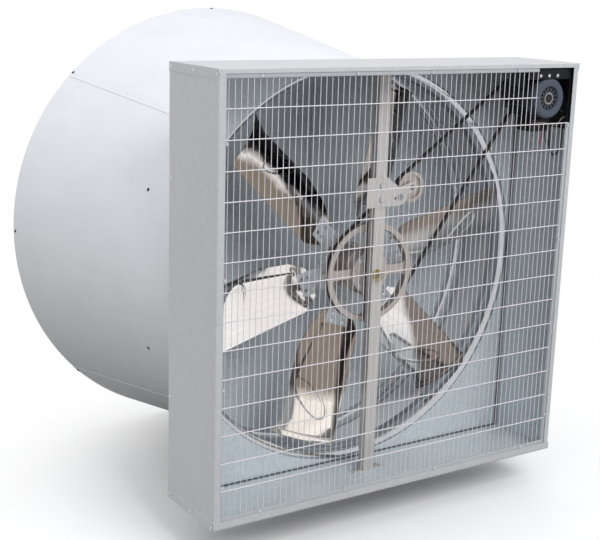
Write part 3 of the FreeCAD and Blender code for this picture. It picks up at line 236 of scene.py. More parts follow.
# The faces that look inwards are a lighter, bluer copy of the same stock, painted light for the inside of the
# housing
painted_light_sheet = mottled("galvanised_sheet_painted_light", "#BCC5CA", "#CAD3D8", 9.0, 0.2, (0.32, 0.44), 0.01, True)
for node, side, lip, bend in (("top_panel", 1, 0.014, 0.0025), ("bottom_panel", -1, 0.028, 0.007),
                              ("right_side_panel", 1, 0.022, 0.006), ("left_side_panel", -1, 0.022, 0.006)):
    sheet = bmesh.new()
    sheet.from_mesh(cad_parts[node].data)
    bmesh.ops.remove_doubles(sheet, verts=sheet.verts, dist=0.00002)
    bmesh.ops.bisect_plane(sheet, geom=sheet.verts[:] + sheet.edges[:] + sheet.faces[:], dist=0.00001,
                           plane_co=(0, FOLD_START, 0), plane_no=(0, 1, 0), clear_inner=True)
    bmesh.ops.dissolve_limit(sheet, angle_limit=radians(0.5), verts=sheet.verts, edges=sheet.edges)
    section = front_fold(lip, bend)
    if "side" in node:
        outer = HALF - SHEET
        fold = [(side * (outer - inset), y, 0.028) for inset, y in section]
        made = prism(sheet, fold, (0, 0, 1.338))
        corners = ((outer - SHEET, -0.147), (outer, -0.147), (outer, FOLD_START), (outer - SHEET, FOLD_START))
        for low, high in ((SHEET, 0.028), (1.366, 1.3785)):
            web = [(side * x, y, low) for x, y in corners]
            made += prism(sheet, web, (0, 0, high - low))
    else:
        fold = [(-HALF, y, 0.690 + side * (HALF - inset)) for inset, y in section]
        made = prism(sheet, fold, (2 * HALF, 0, 0))
        near, far = 0.690 + side * (HALF - SHEET), 0.690 + side * 0.662
        corners = ((FRONT + bend, near), (FRONT + bend, far), (FOLD_START, far), (FOLD_START, near))
        for x in (-HALF, HALF - SHEET):
            made += prism(sheet, [(x, y, z) for y, z in corners], (SHEET, 0, 0))
    bmesh.ops.recalc_face_normals(sheet, faces=list(set(made)))
    folded = piece(sheet, node + "_folded", "housing", spangled_sheet, [node], 10.0)
    # Faces towards the axis take the lighter copy, which paints in light on the inside
    folded.data.materials.append(painted_light_sheet)
    for face in folded.data.polygons:
        towards_axis = Vector((-face.center.x, 0, 0.690 - face.center.z))
        if face.normal.dot(towards_axis) > 0.5:
            face.material_index = 1
dress(painted_light_sheet, "back_panel")

# Dark corner bead
# A low round dark bead runs along the corner between the back panel and the sheets round it,
# which darkens that corner to a line; it has a soft shine.
beads = bmesh.new()
for side in (-1, 1):
    upright = Matrix.Translation((side * 0.6833, 0.1283, 0.690))
    flat = Matrix.Translation((0, 0.1283, 0.690 + side * 0.6860)) @ Matrix.Rotation(pi / 2, 4, "Y")
    for matrix, radius in ((upright, 0.004), (flat, 0.0028)):
        bmesh.ops.create_cone(beads, cap_ends=True, segments=16, radius1=radius, radius2=radius, depth=1.370,
                              matrix=matrix)
# Dark blue-grey with a low shine
dark_bead_finish = mottled("dark_bead_grey", "#353E44", "#48525A", 8.0, 0.0, (0.4, 0.55), 0.1)
piece(beads, "panel_dark_bead", "housing", dark_bead_finish)

# Panel rivets
# Pop rivets with domed heads, through the corner laps and the flange of the back panel. The heads are
# zinc plated, 10 mm across, with the broken mandrel's dimple in the middle.


def placed(seat, way, radius, height):
    """Matrix that takes a unit shape along Z to a seat, with a radius and a height along a direction."""
    turn = Vector((0, 0, 1)).rotation_difference(Vector(way)).to_matrix().to_4x4()
    return Matrix.Translation(seat) @ turn @ Matrix.Diagonal((radius, radius, height, 1.0))


def rivet_head(bm, seat, way, radius, height):
    """Low dome on a seat with a dimple at its middle; its foot is sunk a little in the sheet."""
    made = bmesh.ops.create_uvsphere(bm, u_segments=12, v_segments=8, radius=1.0)
    top = max(made["verts"], key=lambda v: v.co.z)
    low = [v for v in made["verts"] if v.co.z < -0.3]
    top.co.z = 0.75
    bmesh.ops.delete(bm, geom=low, context="VERTS")
    kept = [v for v in made["verts"] if v.is_valid]
    bmesh.ops.transform(bm, matrix=placed(seat, way, radius, height), verts=kept)


# Bright zinc plate: smooth and shiny with a faint blue cast, dulled in spots by handling
bright_zinc = mottled("zinc_plate_bright", "#B4B8BC", "#D4D8DC", 4.0, 1.0, (0.18, 0.32), 0.02)
rivets = bmesh.new()
for side in (-1, 1):
    out = (side, 0, 0)
    for z in (0.014, 1.366):
        for y in (-0.140, 0.0, 0.140):
            rivet_head(rivets, (side * 0.690, y, z), out, 0.005, 0.002)
    for z in (0.345, 0.690, 1.035):
        rivet_head(rivets, (side * 0.6885, 0.140, z), out, 0.005, 0.002)
piece(rivets, "panel_rivet_heads", "housing", bright_zinc, ["panel_rivets"])

# Bell mouth
# One spun ring that leaves the back panel in a quarter round of 25 mm and runs into a short collar. The
# sheet is 1.5 mm galvanised steel, polished by the spinning tool.
AXIS = Vector((0, 0, 0.690))
bell = bmesh.new()
first = bell.verts.new((0.680, 0.132, 0.690))
turned = bmesh.ops.spin(bell, geom=[first], cent=(0.680, 0.157, 0.690), axis=(0, 0, 1), angle=-pi / 2,
                        steps=9)
last = [v for v in turned["geom_last"] if isinstance(v, bmesh.types.BMVert)]
collar = bmesh.ops.extrude_vert_indiv(bell, verts=last)["verts"]
bmesh.ops.translate(bell, verts=collar, vec=(0, 0.043, 0))
bmesh.ops.spin(bell, geom=bell.verts[:] + bell.edges[:], cent=AXIS, axis=(0, 1, 0), angle=2 * pi, steps=180,
               use_merge=True)
bmesh.ops.remove_doubles(bell, verts=bell.verts, dist=0.00002)
bmesh.ops.recalc_face_normals(bell, faces=bell.faces)
bell.faces.ensure_lookup_table()
rear = max(bell.faces, key=lambda f: f.calc_center_median().y)
inward = AXIS - rear.calc_center_median()
if rear.normal.dot(Vector((inward.x, 0, inward.z))) < 0:
    bmesh.ops.reverse_faces(bell, faces=bell.faces)
# Spun galvanised sheet: brighter than the flat panels and close to a mirror, with broad faint clouds
spun_sheet = mottled("galvanised_sheet_spun", "#BEC2C6", "#D6D9DD", 60.0, 1.0, (0.12, 0.22), 0.02)
bell_ring = piece(bell, "bell_mouth", "housing", spun_sheet, ["orifice_ring"])
wall = bell_ring.modifiers.new("wall", "SOLIDIFY")
wall.thickness = 0.0015
wall.offset = -1.0

# Discharge cone
# Four rolled sheets with smooth zinc coating, lapped along the diagonals and riveted every 45 mm; a hoop
# stiffens the outlet's rim, and hexagon screws hold it and the shutter's ring.

# Smooth zinc-coated sheet, rolled: pale and semi-gloss, with long faint clouds from the coil
cone_zinc = mottled("zinc_coated_sheet_smooth", "#C9CBCE", "#D1D3D6", 60.0, 0.0, (0.45, 0.55), 0.02,
                    drawn=(1, 3, 1), shine=0.12)
dress(cone_zinc, "cone_sheet_1", "cone_sheet_2", "cone_sheet_3", "cone_sheet_4")
# Hot-dip galvanised strip: matt, mid grey, with fine grain
dipped_steel = mottled("galvanised_steel_matt", "#AAB0B5", "#BFC5C9", 12.0, 0.4, (0.34, 0.46), 0.01)
dress(dipped_steel, "cone_rim_hoop", "shutter_post", "hinge_pins")
CONE_START, CONE_LENGTH, CONE_BASE, OUTLET = 0.166, 1.003, 0.6565, 0.8165
slope = atan2(OUTLET - CONE_BASE, CONE_LENGTH)
lap_rivets = bmesh.new()
for seam in (45, 135, 225, 315):
    for step in range(22):
        along = 0.022 + step * 0.0455
        radius = CONE_BASE + (OUTLET - CONE_BASE) * along / CONE_LENGTH + 0.003 / cos(slope)
        spread = Vector((cos(radians(seam)), 0, sin(radians(seam))))
        out = spread * cos(slope) - Vector((0, sin(slope), 0))
        seat = AXIS + spread * radius + Vector((0, CONE_START + along, 0))
        rivet_head(lap_rivets, seat, out, 0.0035, 0.0006)
# Weathered aluminium rivet heads: as pale as the sheet and a little duller
dull_alloy = mottled("aluminium_rivet_dull", "#BCBEC2", "#C8CACE", 2.0, 0.1, (0.4, 0.55), 0.03)
piece(lap_rivets, "cone_lap_rivets", "housing", dull_alloy)


def hex_screw(bm, seat, way, radius, height):
    """Washer-faced hexagon head on a seat."""
    disc = bmesh.ops.create_cone(bm, cap_ends=True, segments=16, radius1=1.0, radius2=0.92, depth=0.25)
    washer = disc["verts"]
    bmesh.ops.translate(bm, verts=washer, vec=(0, 0, 0.125))
    hexagon = bmesh.ops.create_cone(bm, cap_ends=True, segments=6, radius1=0.74, radius2=0.74, depth=0.75)
    nut = hexagon["verts"]
    bmesh.ops.translate(bm, verts=nut, vec=(0, 0, 0.625))
    crown = [e for e in bm.edges if all(v in nut and v.co.z > 0.9 for v in e.verts)]
    eased = bmesh.ops.bevel(bm, geom=crown, offset=0.1, segments=2, profile=0.5, affect="EDGES", material=-1)
    verts = set(washer) | {v for v in nut if v.is_valid} | set(eased["verts"])
    bmesh.ops.transform(bm, matrix=placed(seat, way, radius, height), verts=list(verts))


# Blackened screws: dark oxide with a low shine
black_oxide = mottled("steel_screw_black_oxide", "#2A2B2D", "#3E4043", 2.0, 0.6, (0.35, 0.5), 0.03)
cone_screws = bmesh.new()
for turn in range(8):
    for along, angle in ((1.003 - 0.0125, turn * 45), (0.227, turn * 45 + 22.5)):
        sheets = 0.003 if angle % 90 == 45 else 0.0015
        radius = CONE_BASE + (OUTLET - CONE_BASE) * along / CONE_LENGTH + sheets / cos(slope)
        spread = Vector((cos(radians(angle)), 0, sin(radians(angle))))
        out = spread * cos(slope) - Vector((0, sin(slope), 0))
        seat = AXIS + spread * radius + Vector((0, CONE_START + along, 0))
        hex_screw(cone_screws, seat, out, 0.006, 0.0025)
piece(cone_screws, "cone_hex_screws", "housing", black_oxide, ["cone_screws"], 30.0)

# Butterfly shutter
# Two half-round doors of galvanised sheet on pins beside a centre bar, each kept flat by its turned rim
# and a bar across its back. They close on a ring inside the cone.
# The doors take the same lighter copy, painted light for the inside
dress(painted_light_sheet, "left_shutter_door", "right_shutter_door")
# The ring that the doors close on is a strip on the cone's wall, with its rear edge rolled inwards
ring = bmesh.new()
rolled = [(692.4 - 19.1 * sin(radians(turn)), 428 - 22 * cos(radians(turn))) for turn in range(0, 91, 10)]
line = [ring.verts.new((radius / 1000, y / 1000, 0.690)) for radius, y in [(685.1, 358.0)] + rolled]
for start, end in zip(line, line[1:]):
    ring.edges.new((start, end))
bmesh.ops.spin(ring, geom=ring.verts[:] + ring.edges[:], cent=AXIS, axis=(0, 1, 0), angle=2 * pi, steps=144,
               use_merge=True)
bmesh.ops.remove_doubles(ring, verts=ring.verts, dist=0.00002)
bmesh.ops.recalc_face_normals(ring, faces=ring.faces)
front = min(ring.faces, key=lambda f: f.calc_center_median().y)
inward = AXIS - front.calc_center_median()
if front.normal.dot(Vector((inward.x, 0, inward.z))) < 0:
    bmesh.ops.reverse_faces(ring, faces=ring.faces)
# Rolled galvanised strip: bright and smooth, with the shine broken by faint waves of the rolls
rolled_strip = mottled("galvanised_strip_rolled", "#C8CCD0", "#DADDE1", 40.0, 0.9, (0.16, 0.28), 0.05)
stop_ring = piece(ring, "shutter_stop_ring", "housing", rolled_strip, ["shutter_ring"])
wall = stop_ring.modifiers.new("wall", "SOLIDIFY")
wall.thickness = 0.0012
wall.offset = -1.0

# Centre post and axle
# A galvanised channel stands in the middle of the intake and carries the fan's fixed axle, which is held
# by a yellow zinc nut and washer; bolts fix the post's feet.
# Pregalvanised strip: pale and slightly warm, satin from the rolling mill
strip_zinc = mottled("galvanised_strip_pale", "#B4B2AF", "#C4C2BF", 25.0, 0.25, (0.3, 0.42), 0.01,
                     drawn=(1, 1, 6))
dress(strip_zinc, "centre_post")
dress(bright_zinc, "post_bolts")
# Yellow chromated zinc: satin straw gold, a little uneven
yellow_zinc = mottled("zinc_plate_yellow", "#B09A66", "#D4C493", 5.0, 1.0, (0.28, 0.42), 0.03)
dress(yellow_zinc, "axle_nuts")
# Turned steel bar: bright, with fine tool rings
turned_steel = mottled("steel_turned", "#8F9193", "#A9ABAD", 2.0, 1.0, (0.28, 0.4), 0.03, drawn=(4, 1, 4))
dress(turned_steel, "fan_axle", "axle_spacer", "hub_bearings", "idler_axle", "pivot_stud")

# Propeller hub
# The cast hub runs on two bearings on the fixed axle; the spider plate on its rear flange carries the six
# stamped root brackets, each with two bolts on the plate and four through the blade.
# Sand-cast aluminium: warm light grey with a fine pebbled skin
cast_alloy = mottled("aluminium_sand_cast", "#A8A19C", "#C6BFBA", 3.0, 0.8, (0.36, 0.5), 0.15)
dress(cast_alloy, "hub", "drive_pulley")
dress(dipped_steel, "spider", "blade_brackets")
dress(bright_zinc, "bracket_bolts", "pulley_bolts", "tensioner_bolts", "motor_bolts")

# Blades
# Six pressings of bright rolled stainless sheet, 2 mm thick: flat at the root, twisted and cambered out to
# the tip, with an oval bead, a crease that runs from the seat to the trailing edge, and a grooved tip.
stations = (
    (165.0, 48.0, 48.0, 20.0, 0.2), (208.0, 76.7, 76.7, 20.0, 0.2), (225.0, 86.0, 86.0, 20.0, 3.9),
    (323.3, 89.5, 105.75, 21.75, 20.8), (441.3, 93.7, 100.65, 23.85, 26.0), (559.3, 97.9, 95.55, 25.95, 26.0),
    (618.3, 100.0, 121.0, 27.0, 26.0),
)


def pressed_relief(radius, chord):
    """Height of the pressed details above the plain sheet, in millimetres, at a radius and a place across."""
    east, north = radius - 470.0, chord + 23.0
    long_way, short_way = (east + north) / sqrt(2), (north - east) / sqrt(2)
    oval = hypot(long_way / 80, short_way / 30)
    slope = hypot(long_way / 80 ** 2, short_way / 30 ** 2) / max(oval, 0.01)
    bead = 3.0 * exp(-((oval - 1) / slope / 4.5) ** 2)
    run = Vector((180.0, -34.0))
    off = Vector((radius - 218.0, chord + 47.0))
    share = min(max(off.dot(run) / run.length_squared, 0.0), 1.0)
    crease = 3.0 * exp(-((off - run * share).length / 5) ** 2)
    groove = -2.0 * exp(-((radius - 603.0) / 3.5) ** 2)
    return (bead + crease + groove) * min(max((radius - 210) / 12, 0), 1)


def blade_place(radius, share):
    """Point on the front of a blade that lies along +X; share runs from the trailing to the intake edge."""
    inner, outer = stations[0], stations[1]
    for pair in zip(stations, stations[1:]):
        if pair[0][0] <= radius:
            inner, outer = pair
    part = (radius - inner[0]) / (outer[0] - inner[0])
    intake, trailing, pitch, camber = [a + (b - a) * part for a, b in zip(inner[1:], outer[1:])]
    half = (intake + trailing) / 2
    bend = 2 * atan(camber / half)
    swing = bend * (2 * share - 1)
    chord = half * sin(swing) / sin(bend) + (intake - trailing) / 2
    rise = half * (cos(swing) - cos(bend)) / sin(bend) + pressed_relief(radius, chord)
    lean = radians(pitch)
    y = 156.0 - sin(lean) * chord - cos(lean) * rise
    z = 690.0 + cos(lean) * chord - sin(lean) * rise
    return Vector((radius, y, z)) / 1000


def stainless_with_painted_reflections(name, angle, painted_reflection_bands):
    """Mirror-bright sheet with bands of painted reflection along one direction of a blade, their edges
    ragged.

    The bands are tints, the direction as shares along the radius and across, and where they begin and end;
    the last value is the least roughness."""
    tints, (outward, over), begin, end, rough = painted_reflection_bands
    material = mottled(name, tints[0], tints[-1], 140.0, 1.0, (rough, rough + 0.12), 0.8)
    ramp = material.node_tree.nodes["Color Ramp"]
    pattern = ramp.inputs["Fac"].links[0].from_socket
    way = (outward * cos(angle) - over * sin(angle), 0.0, outward * sin(angle) + over * cos(angle))
    place = add_node(material, "ShaderNodeTexCoord")
    lowered = add_node(material, "ShaderNodeVectorMath", {0: place.outputs["Object"], 1: -AXIS},
                       operation="ADD")
    reach = add_node(material, "ShaderNodeVectorMath", {0: lowered.outputs["Vector"], 1: way},
                     operation="DOT_PRODUCT")
    band = add_node(material, "ShaderNodeMapRange", {
        "Value": reach.outputs["Value"], "From Min": begin, "From Max": end, "To Min": -0.5, "To Max": 0.5})
    mixed = add_node(material, "ShaderNodeMath", {0: pattern, 1: band.outputs["Result"]}, operation="ADD")
    material.node_tree.links.new(mixed.outputs[0], ramp.inputs["Fac"])
    stops = ramp.color_ramp.elements
    stops[0].position, stops[1].position = 0.3, 0.7
    if len(tints) == 3:
        stops.new(0.5).color = linear(tints[1])
    return material


# Bright rolled stainless: mirror-like but wavy; each blade's bands of brown, cream, white and black are
# painted reflections of its surroundings over a warm tint
painted_reflection_bands = (
    (("#C9C7C4", "#94887E"), (0.0, 1.0), -0.02, 0.08, 0.28),
    (("#A09C98", "#8E8A86"), (1.0, 0.0), 0.38, 0.52, 0.08),
    (("#3B3937", "#F2ECE8", "#8C8074"), (-0.15, 1.0), -0.13, 0.01, 0.08),
    (("#FAF5F2", "#FFFDFA"), (1.0, 0.0), 0.38, 0.52, 0.08),
    (("#8F8379", "#FFF6EC"), (1.0, 0.0), 0.40, 0.50, 0.08),
    (("#EFEBE8", "#857A73"), (0.45, 1.0), 0.13, 0.20, 0.08),
)
for number in range(6):
    name = "blade_%d" % (number + 1)
    angle = radians(14.2 + 60 * number)
    stainless = stainless_with_painted_reflections("stainless_painted_reflection_" + name, angle, painted_reflection_bands[number])
    blade = bmesh.new()
    bmesh.ops.create_grid(blade, x_segments=181, y_segments=81, size=0.5)
    for v in blade.verts:
        v.co = blade_place(165.0 + 453.3 * (v.co.x + 0.5), v.co.y + 0.5)
    bmesh.ops.rotate(blade, cent=AXIS, matrix=Matrix.Rotation(-angle, 4, "Y"), verts=blade.verts)
    blade.normal_update()
    blade.faces.ensure_lookup_table()
    if blade.faces[len(blade.faces) // 2].normal.y > 0:
        bmesh.ops.reverse_faces(blade, faces=blade.faces)
    sheet = piece(blade, name + "_pressing", "propeller", stainless, [name], 60.0)
    wall = sheet.modifiers.new("wall", "SOLIDIFY")
    wall.thickness = 0.002
    wall.offset = -1.0

# Belt drive
# A wrapped V-belt runs from the motor's pulley to the large spoked pulley, with a flat idler on a swinging
# arm that presses its slack run; the arm's plate is bolted to the post.
# Wrapped rubber belt: matt black with the fabric's fine weave
belt_rubber = mottled("rubber_belt_wrapped", "#1B1B1C", "#2C2C2E", 1.5, 0.0, (0.6, 0.75), 0.15)
dress(belt_rubber, "v_belt")
dress(cast_alloy, "idler_pulley", "motor_pulley")
dress(strip_zinc, "tensioner_plate", "tension_arm")

# Motor
# A finned frame in charcoal paint hangs from a black bracket in the top corner, with its tail cowl at the
# guard's notch and a terminal box below; the rotor and the cooling fan turn inside.

# Sprayed enamel on cast iron: charcoal blue, semi-gloss, with a fine orange peel
motor_paint = mottled("enamel_charcoal", "#20252C", "#2E343D", 2.5, 0.0, (0.3, 0.42), 0.08)
dress(motor_paint, "motor_frame", "drive_end_shield", "tail_end_shield")
# Powder coat: blue grey, satin, with a fine grain
cowl_paint = mottled("powder_coat_blue_grey", "#303843", "#404A57", 1.5, 0.0, (0.38, 0.5), 0.06)


def lathe(bm, profile, steps):
    """Full turn of a line of (radius, y) points, in millimetres, about the motor's axis."""
    line = [bm.verts.new((0.574 + radius / 1000, y / 1000, 1.264)) for radius, y in profile]
    for start, end in zip(line, line[1:]):
        bm.edges.new((start, end))
    bmesh.ops.spin(bm, geom=bm.verts[:] + bm.edges[:], cent=(0.574, 0, 1.264), axis=(0, 1, 0), angle=2 * pi,
                   steps=steps, use_merge=True)
    bmesh.ops.remove_doubles(bm, verts=bm.verts, dist=0.00002)
    bmesh.ops.recalc_face_normals(bm, faces=bm.faces)
    front = min(bm.faces, key=lambda f: f.calc_center_median().y)
    if front.normal.y > 0:
        bmesh.ops.reverse_faces(bm, faces=bm.faces)


shoulder = [(56 + 12 * sin(radians(turn)), -128 - 12 * cos(radians(turn))) for turn in range(0, 91, 10)]
shell = bmesh.new()
dish = [(38.0, -132.5), (38.6, -133.2), (40.0, -138.2), (41.0, -139.4), (43.0, -140.0)]
lathe(shell, dish + shoulder + [(68.0, -92.0)], 84)
tail_cowl = piece(shell, "tail_cowl", "housing", cowl_paint, ["fan_cowl"])
wall = tail_cowl.modifiers.new("wall", "SOLIDIFY")
wall.thickness = 0.0015
wall.offset = -1.0
# The dish and its slots take the darker motor enamel rather than the cowl's paint; its dark tone is partly
# painted shade for the recess
grille = bmesh.new()
lathe(grille, [(19.0, -134.0), (20.0, -132.6), (24.0, -132.2), (38.0, -132.2), (38.5, -132.8)], 84)
open_faces = []
for face in grille.faces:
    spot = face.calc_center_median()
    step = int(atan2(spot.z - 1.264, spot.x - 0.574) % (2 * pi) / (2 * pi) * 84)
    if 0.024 < hypot(spot.x - 0.574, spot.z - 1.264) < 0.038 and step % 6 < 2:
        open_faces.append(face)
bmesh.ops.delete(grille, geom=open_faces, context="FACES")
cowl_grille = piece(grille, "cowl_grille", "housing", motor_paint)
wall = cowl_grille.modifiers.new("wall", "SOLIDIFY")
wall.thickness = 0.0012
wall.offset = -1.0
cap = bmesh.new()
button = [(0.0, -134.6), (14.0, -134.6), (15.0, -135.8), (18.0, -136.4), (19.6, -135.6), (20.0, -133.0)]
lathe(cap, button, 48)
# Tarnished steel cap over the shaft's end: brown-grey and dull
tarnished = mottled("steel_cap_tarnished", "#1E1B1A", "#302C2A", 9.0, 0.0, (0.45, 0.6), 0.05, shine=0.2)
cowl_cap = piece(cap, "cowl_cap", "housing", tarnished)
cowl_cap.data.materials.append(turned_steel)
for face in cowl_cap.data.polygons:
    if hypot(face.center.x - 0.574, face.center.z - 1.264) > 0.016:
        face.material_index = 1


def softened(node, name, material, width):
    """Copy of one of the housing's solids with its sharp edges eased, which then stands for it."""
    bm = bmesh.new()
    bm.from_mesh(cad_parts[node].data)
    bmesh.ops.remove_doubles(bm, verts=bm.verts, dist=0.00002)
    bmesh.ops.dissolve_limit(bm, angle_limit=radians(0.5), verts=bm.verts, edges=bm.edges)
    edges = [e for e in bm.edges if len(e.link_faces) == 2 and e.calc_face_angle() > radians(30)]
    bmesh.ops.bevel(bm, geom=edges, offset=width, segments=2, profile=0.5, affect="EDGES", material=-1,
                    clamp_overlap=True)
    piece(bm, name, "housing", material, [node], 35.0)


# Black enamel on folded plate: satin, a little dusty
bracket_paint = mottled("enamel_black_satin", "#0B0C0E", "#15161A", 4.0, 0.0, (0.5, 0.65), 0.06, shine=0.25)
softened("motor_bracket", "motor_bracket_plate", bracket_paint, 0.0008)
# Moulded glass-filled nylon: black, finely matt
moulded_black = mottled("nylon_moulded_black", "#101113", "#1B1C1F", 1.5, 0.0, (0.45, 0.6), 0.06, shine=0.3)
softened("terminal_box", "terminal_box_case", moulded_black, 0.0015)
dress(moulded_black, "cable_glands", "cooling_fan")
# Bare cast iron and shaft steel: dark warm grey, dull
rotor_iron = mottled("cast_iron_bare", "#4A4746", "#62605F", 3.0, 0.7, (0.45, 0.6), 0.1)
dress(rotor_iron, "motor_rotor")

# Intake guard
# Welded mesh of pale zinc-coated wire behind the housing's lips: upright wires of 2.3 mm every 20 mm on
# rows of 3.6 mm every 88 mm and on flat edge bars, cut away round the motor, welded at every crossing.
guard = bmesh.new()
bars = bmesh.new()
REACH, MIDDLE = 0.676, 0.697
SIDE_EDGE, TOP_EDGE, BOTTOM_EDGE = 0.6535, 1.353, 0.041
rows = [MIDDLE + (i - 6.5) * 0.088 for i in range(14)]
uprights = [(i - 32) * 0.02042 for i in range(65)]
notch_x = max(x for x in uprights if x < 0.574 - 0.062)
notch_z = max(z for z in rows if z < 1.193)


def bar(low, high):
    """Flat bar between two corners, with its edges eased."""
    made = bmesh.ops.create_cube(bars, size=1.0)["verts"]
    middle = (Vector(low) + Vector(high)) / 2
    span = Vector(high) - Vector(low)
    bmesh.ops.transform(bars, matrix=Matrix.Translation(middle) @ Matrix.Diagonal((*span, 1.0)), verts=made)
    rims = {e for v in made for e in v.link_edges}
    bmesh.ops.bevel(bars, geom=list(rims), offset=0.0006, segments=2, profile=0.5, affect="EDGES",
                    material=-1)


bar((-REACH, -0.1472, TOP_EDGE), (notch_x + 0.0015, -0.1445, MIDDLE + REACH))
bar((-REACH, -0.1472, MIDDLE - REACH), (REACH, -0.1445, BOTTOM_EDGE))
bar((-REACH, -0.1472, BOTTOM_EDGE), (-SIDE_EDGE - 0.009, -0.1445, TOP_EDGE))
bar((SIDE_EDGE, -0.1472, BOTTOM_EDGE), (REACH, -0.1445, notch_z + 0.002))


def wire(start, end, diameter):
    """Round wire between two points."""
    way = Vector(end) - Vector(start)
    middle = (Vector(start) + Vector(end)) / 2
    bmesh.ops.create_cone(guard, cap_ends=True, segments=10, radius1=1.0, radius2=1.0, depth=1.0,
                          matrix=placed(middle, way.normalized(), diameter / 2, way.length))


for z in rows:
    end = SIDE_EDGE if z <= notch_z else notch_x + 0.0015
    wire((-REACH, -0.1465, z), (end, -0.1465, z), 0.0036)
for x in uprights:
    end = MIDDLE + REACH if x <= notch_x else notch_z + 0.002
    wire((x, -0.143, MIDDLE - REACH), (x, -0.143, end), 0.0023)
for x in uprights:
    for z in rows:
        if x <= notch_x or z <= notch_z:
            bmesh.ops.create_icosphere(guard, subdivisions=1, radius=1.0,
                                       matrix=placed((x, -0.1446, z), (0, -1, 0), 0.0024, 0.0012))
# Zinc-coated wire: pale and matt with a faint pink cast, a little rough from the dip
guard_wire = mottled("zinc_coated_wire_pale", "#CCC8CC", "#DAD6DA", 6.0, 0.2, (0.35, 0.5), 0.02)
piece(guard, "guard_wires", "housing", guard_wire, ["intake_guard"], 50.0)
# Flat bar of the same stock, darkened to a grey that paints the shade it sits in behind the lips
shaded_bar = mottled("zinc_coated_bar_painted_shade", "#9EA2A5", "#AEB2B5", 12.0, 0.2, (0.4, 0.52), 0.02)
piece(bars, "guard_edge_bars", "housing", shaded_bar)

# Guard screws
# Hexagon screws with a washer face hold the guard's edge bars, four along each side of the housing.
screws = bmesh.new()
for share in (0.102, 0.34, 0.546, 0.804):
    hex_screw(screws, (share * 1.380 - 0.690, -0.1485, 1.3595), (0, -1, 0), 0.006, 0.0025)
for share in (0.118, 0.35, 0.618, 0.9):
    hex_screw(screws, (share * 1.380 - 0.690, -0.1485, 0.0345), (0, -1, 0), 0.006, 0.0025)
for share in (0.1, 0.324, 0.564, 0.849):
    for x in (-0.660, 0.660):
        hex_screw(screws, (x, -0.1485, share * 1.380), (0, -1, 0), 0.006, 0.0025)
piece(screws, "guard_hex_screws", "housing", bright_zinc, ["guard_screws"], 30.0)

# Floor and light
# A wide floor that is shown white, and fades to pure white away from the object, an even white sky, a soft
# box high on the left and one in front; light that bounces off the floor is as dim as off plain concrete.
floor = bmesh.new()
bmesh.ops.create_grid(floor, x_segments=1, y_segments=1, size=15.0)
bmesh.ops.translate(floor, verts=floor.verts, vec=(0, 0, cad_box[0][2] - 0.001))
floor_mesh = bpy.data.meshes.new("floor")
floor.to_mesh(floor_mesh)
floor.free()
# Painted white floor: matt, with faint scuffs
paper = bpy.data.materials.new("floor_white_matt")
paper.use_nodes = True
ground = paper.node_tree.nodes["Principled BSDF"]
ground.inputs["Roughness"].default_value = 0.9
place = add_node(paper, "ShaderNodeTexCoord")
scuffs = add_node(paper, "ShaderNodeTexNoise",
                  {"Vector": place.outputs["Object"], "Scale": 6.0, "Detail": 4.0})
tone = add_node(paper, "ShaderNodeValToRGB", {"Fac": scuffs.outputs[0]})
tone.color_ramp.elements[0].color = linear("#E2E2E2")
tone.color_ramp.elements[1].color = linear("#E8E8E8")
rays = add_node(paper, "ShaderNodeLightPath")
seen = add_node(paper, "ShaderNodeMath", {0: rays.outputs["Is Camera Ray"], 1: rays.outputs["Is Glossy Ray"]},
                operation="ADD")
shown = add_node(paper, "ShaderNodeMath", {0: seen.outputs[0], 1: rays.outputs["Is Transmission Ray"]},
                 operation="ADD", use_clamp=True)
face = add_node(paper, "ShaderNodeMix", {"Factor": shown.outputs[0]}, data_type="RGBA")
face.inputs[6].default_value = linear("#5E5B57")
paper.node_tree.links.new(tone.outputs["Color"], face.inputs[7])
paper.node_tree.links.new(face.outputs[2], ground.inputs["Base Color"])
distance = add_node(paper, "ShaderNodeVectorMath", {0: place.outputs["Object"]}, operation="LENGTH")
fade = add_node(paper, "ShaderNodeMapRange",
                {"Value": distance.outputs["Value"], "From Min": 0.6, "From Max": 1.6},
                interpolation_type="SMOOTHSTEP")
amount = add_node(paper, "ShaderNodeMath", {0: shown.outputs[0], 1: fade.outputs["Result"]},
                  operation="MULTIPLY")
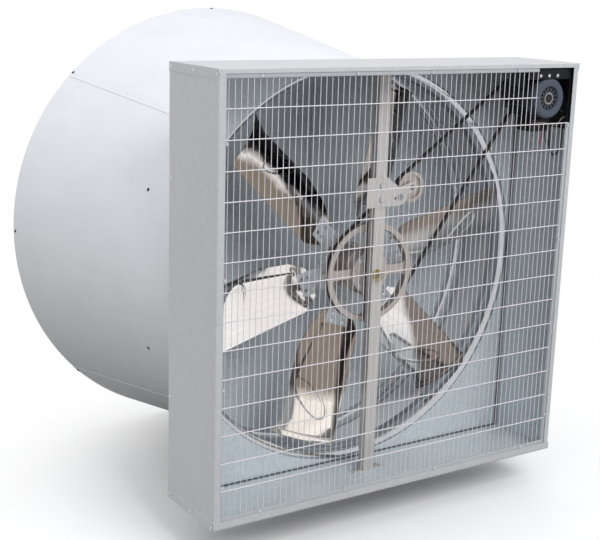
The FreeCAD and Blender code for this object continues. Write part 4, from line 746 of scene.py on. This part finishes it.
white = add_node(paper, "ShaderNodeEmission", {"Color": (1, 1, 1, 1), "Strength": 1.0})
blend = add_node(paper, "ShaderNodeMixShader",
                 {0: amount.outputs[0], 1: ground.outputs["BSDF"], 2: white.outputs["Emission"]})
paper.node_tree.links.new(blend.outputs["Shader"], paper.node_tree.nodes["Material Output"].inputs["Surface"])
floor_mesh.materials.append(paper)
ground_plane = bpy.data.objects.new("floor", floor_mesh)
bpy.context.scene.collection.objects.link(ground_plane)

surround = bpy.data.worlds.new("surround")
surround.use_nodes = True
bpy.context.scene.world = surround
sky = surround.node_tree.nodes["Background"]
sky.inputs["Color"].default_value = linear("#FAFBFF")
sky.inputs["Strength"].default_value = 1.0
rays = add_node(surround, "ShaderNodeLightPath")
seen = add_node(surround, "ShaderNodeMath",
                {0: rays.outputs["Is Camera Ray"], 1: rays.outputs["Is Glossy Ray"]}, operation="ADD")
shown = add_node(surround, "ShaderNodeMath", {0: seen.outputs[0], 1: rays.outputs["Is Transmission Ray"]},
                 operation="ADD", use_clamp=True)
plain = add_node(surround, "ShaderNodeBackground", {"Color": (1, 1, 1, 1), "Strength": 1.0})
blend = add_node(surround, "ShaderNodeMixShader",
                 {0: shown.outputs[0], 1: sky.outputs["Background"], 2: plain.outputs["Background"]})
outlet = surround.node_tree.nodes["World Output"]
surround.node_tree.links.new(blend.outputs["Shader"], outlet.inputs["Surface"])

for name, size, power, spot, aim in (
    ("soft_box_left", (3.5, 3.5), 70.0, (-4.6, 1.6, 3.2), (0.0, 0.6, 0.7)),
    ("soft_box_front", (4.0, 3.0), 300.0, (0.3, -4.8, 4.8), (0.0, 0.1, 0.6)),
):
    lamp = bpy.data.lights.new(name, "AREA")
    lamp.shape = "RECTANGLE"
    lamp.size, lamp.size_y = size
    lamp.energy = power
    holder = bpy.data.objects.new(name, lamp)
    holder.visible_glossy = False
    holder.location = spot
    holder.rotation_euler = (Vector(aim) - Vector(spot)).to_track_quat("-Z", "Y").to_euler()
    bpy.context.scene.collection.objects.link(holder)
bpy.context.scene.view_settings.view_transform = "Standard"
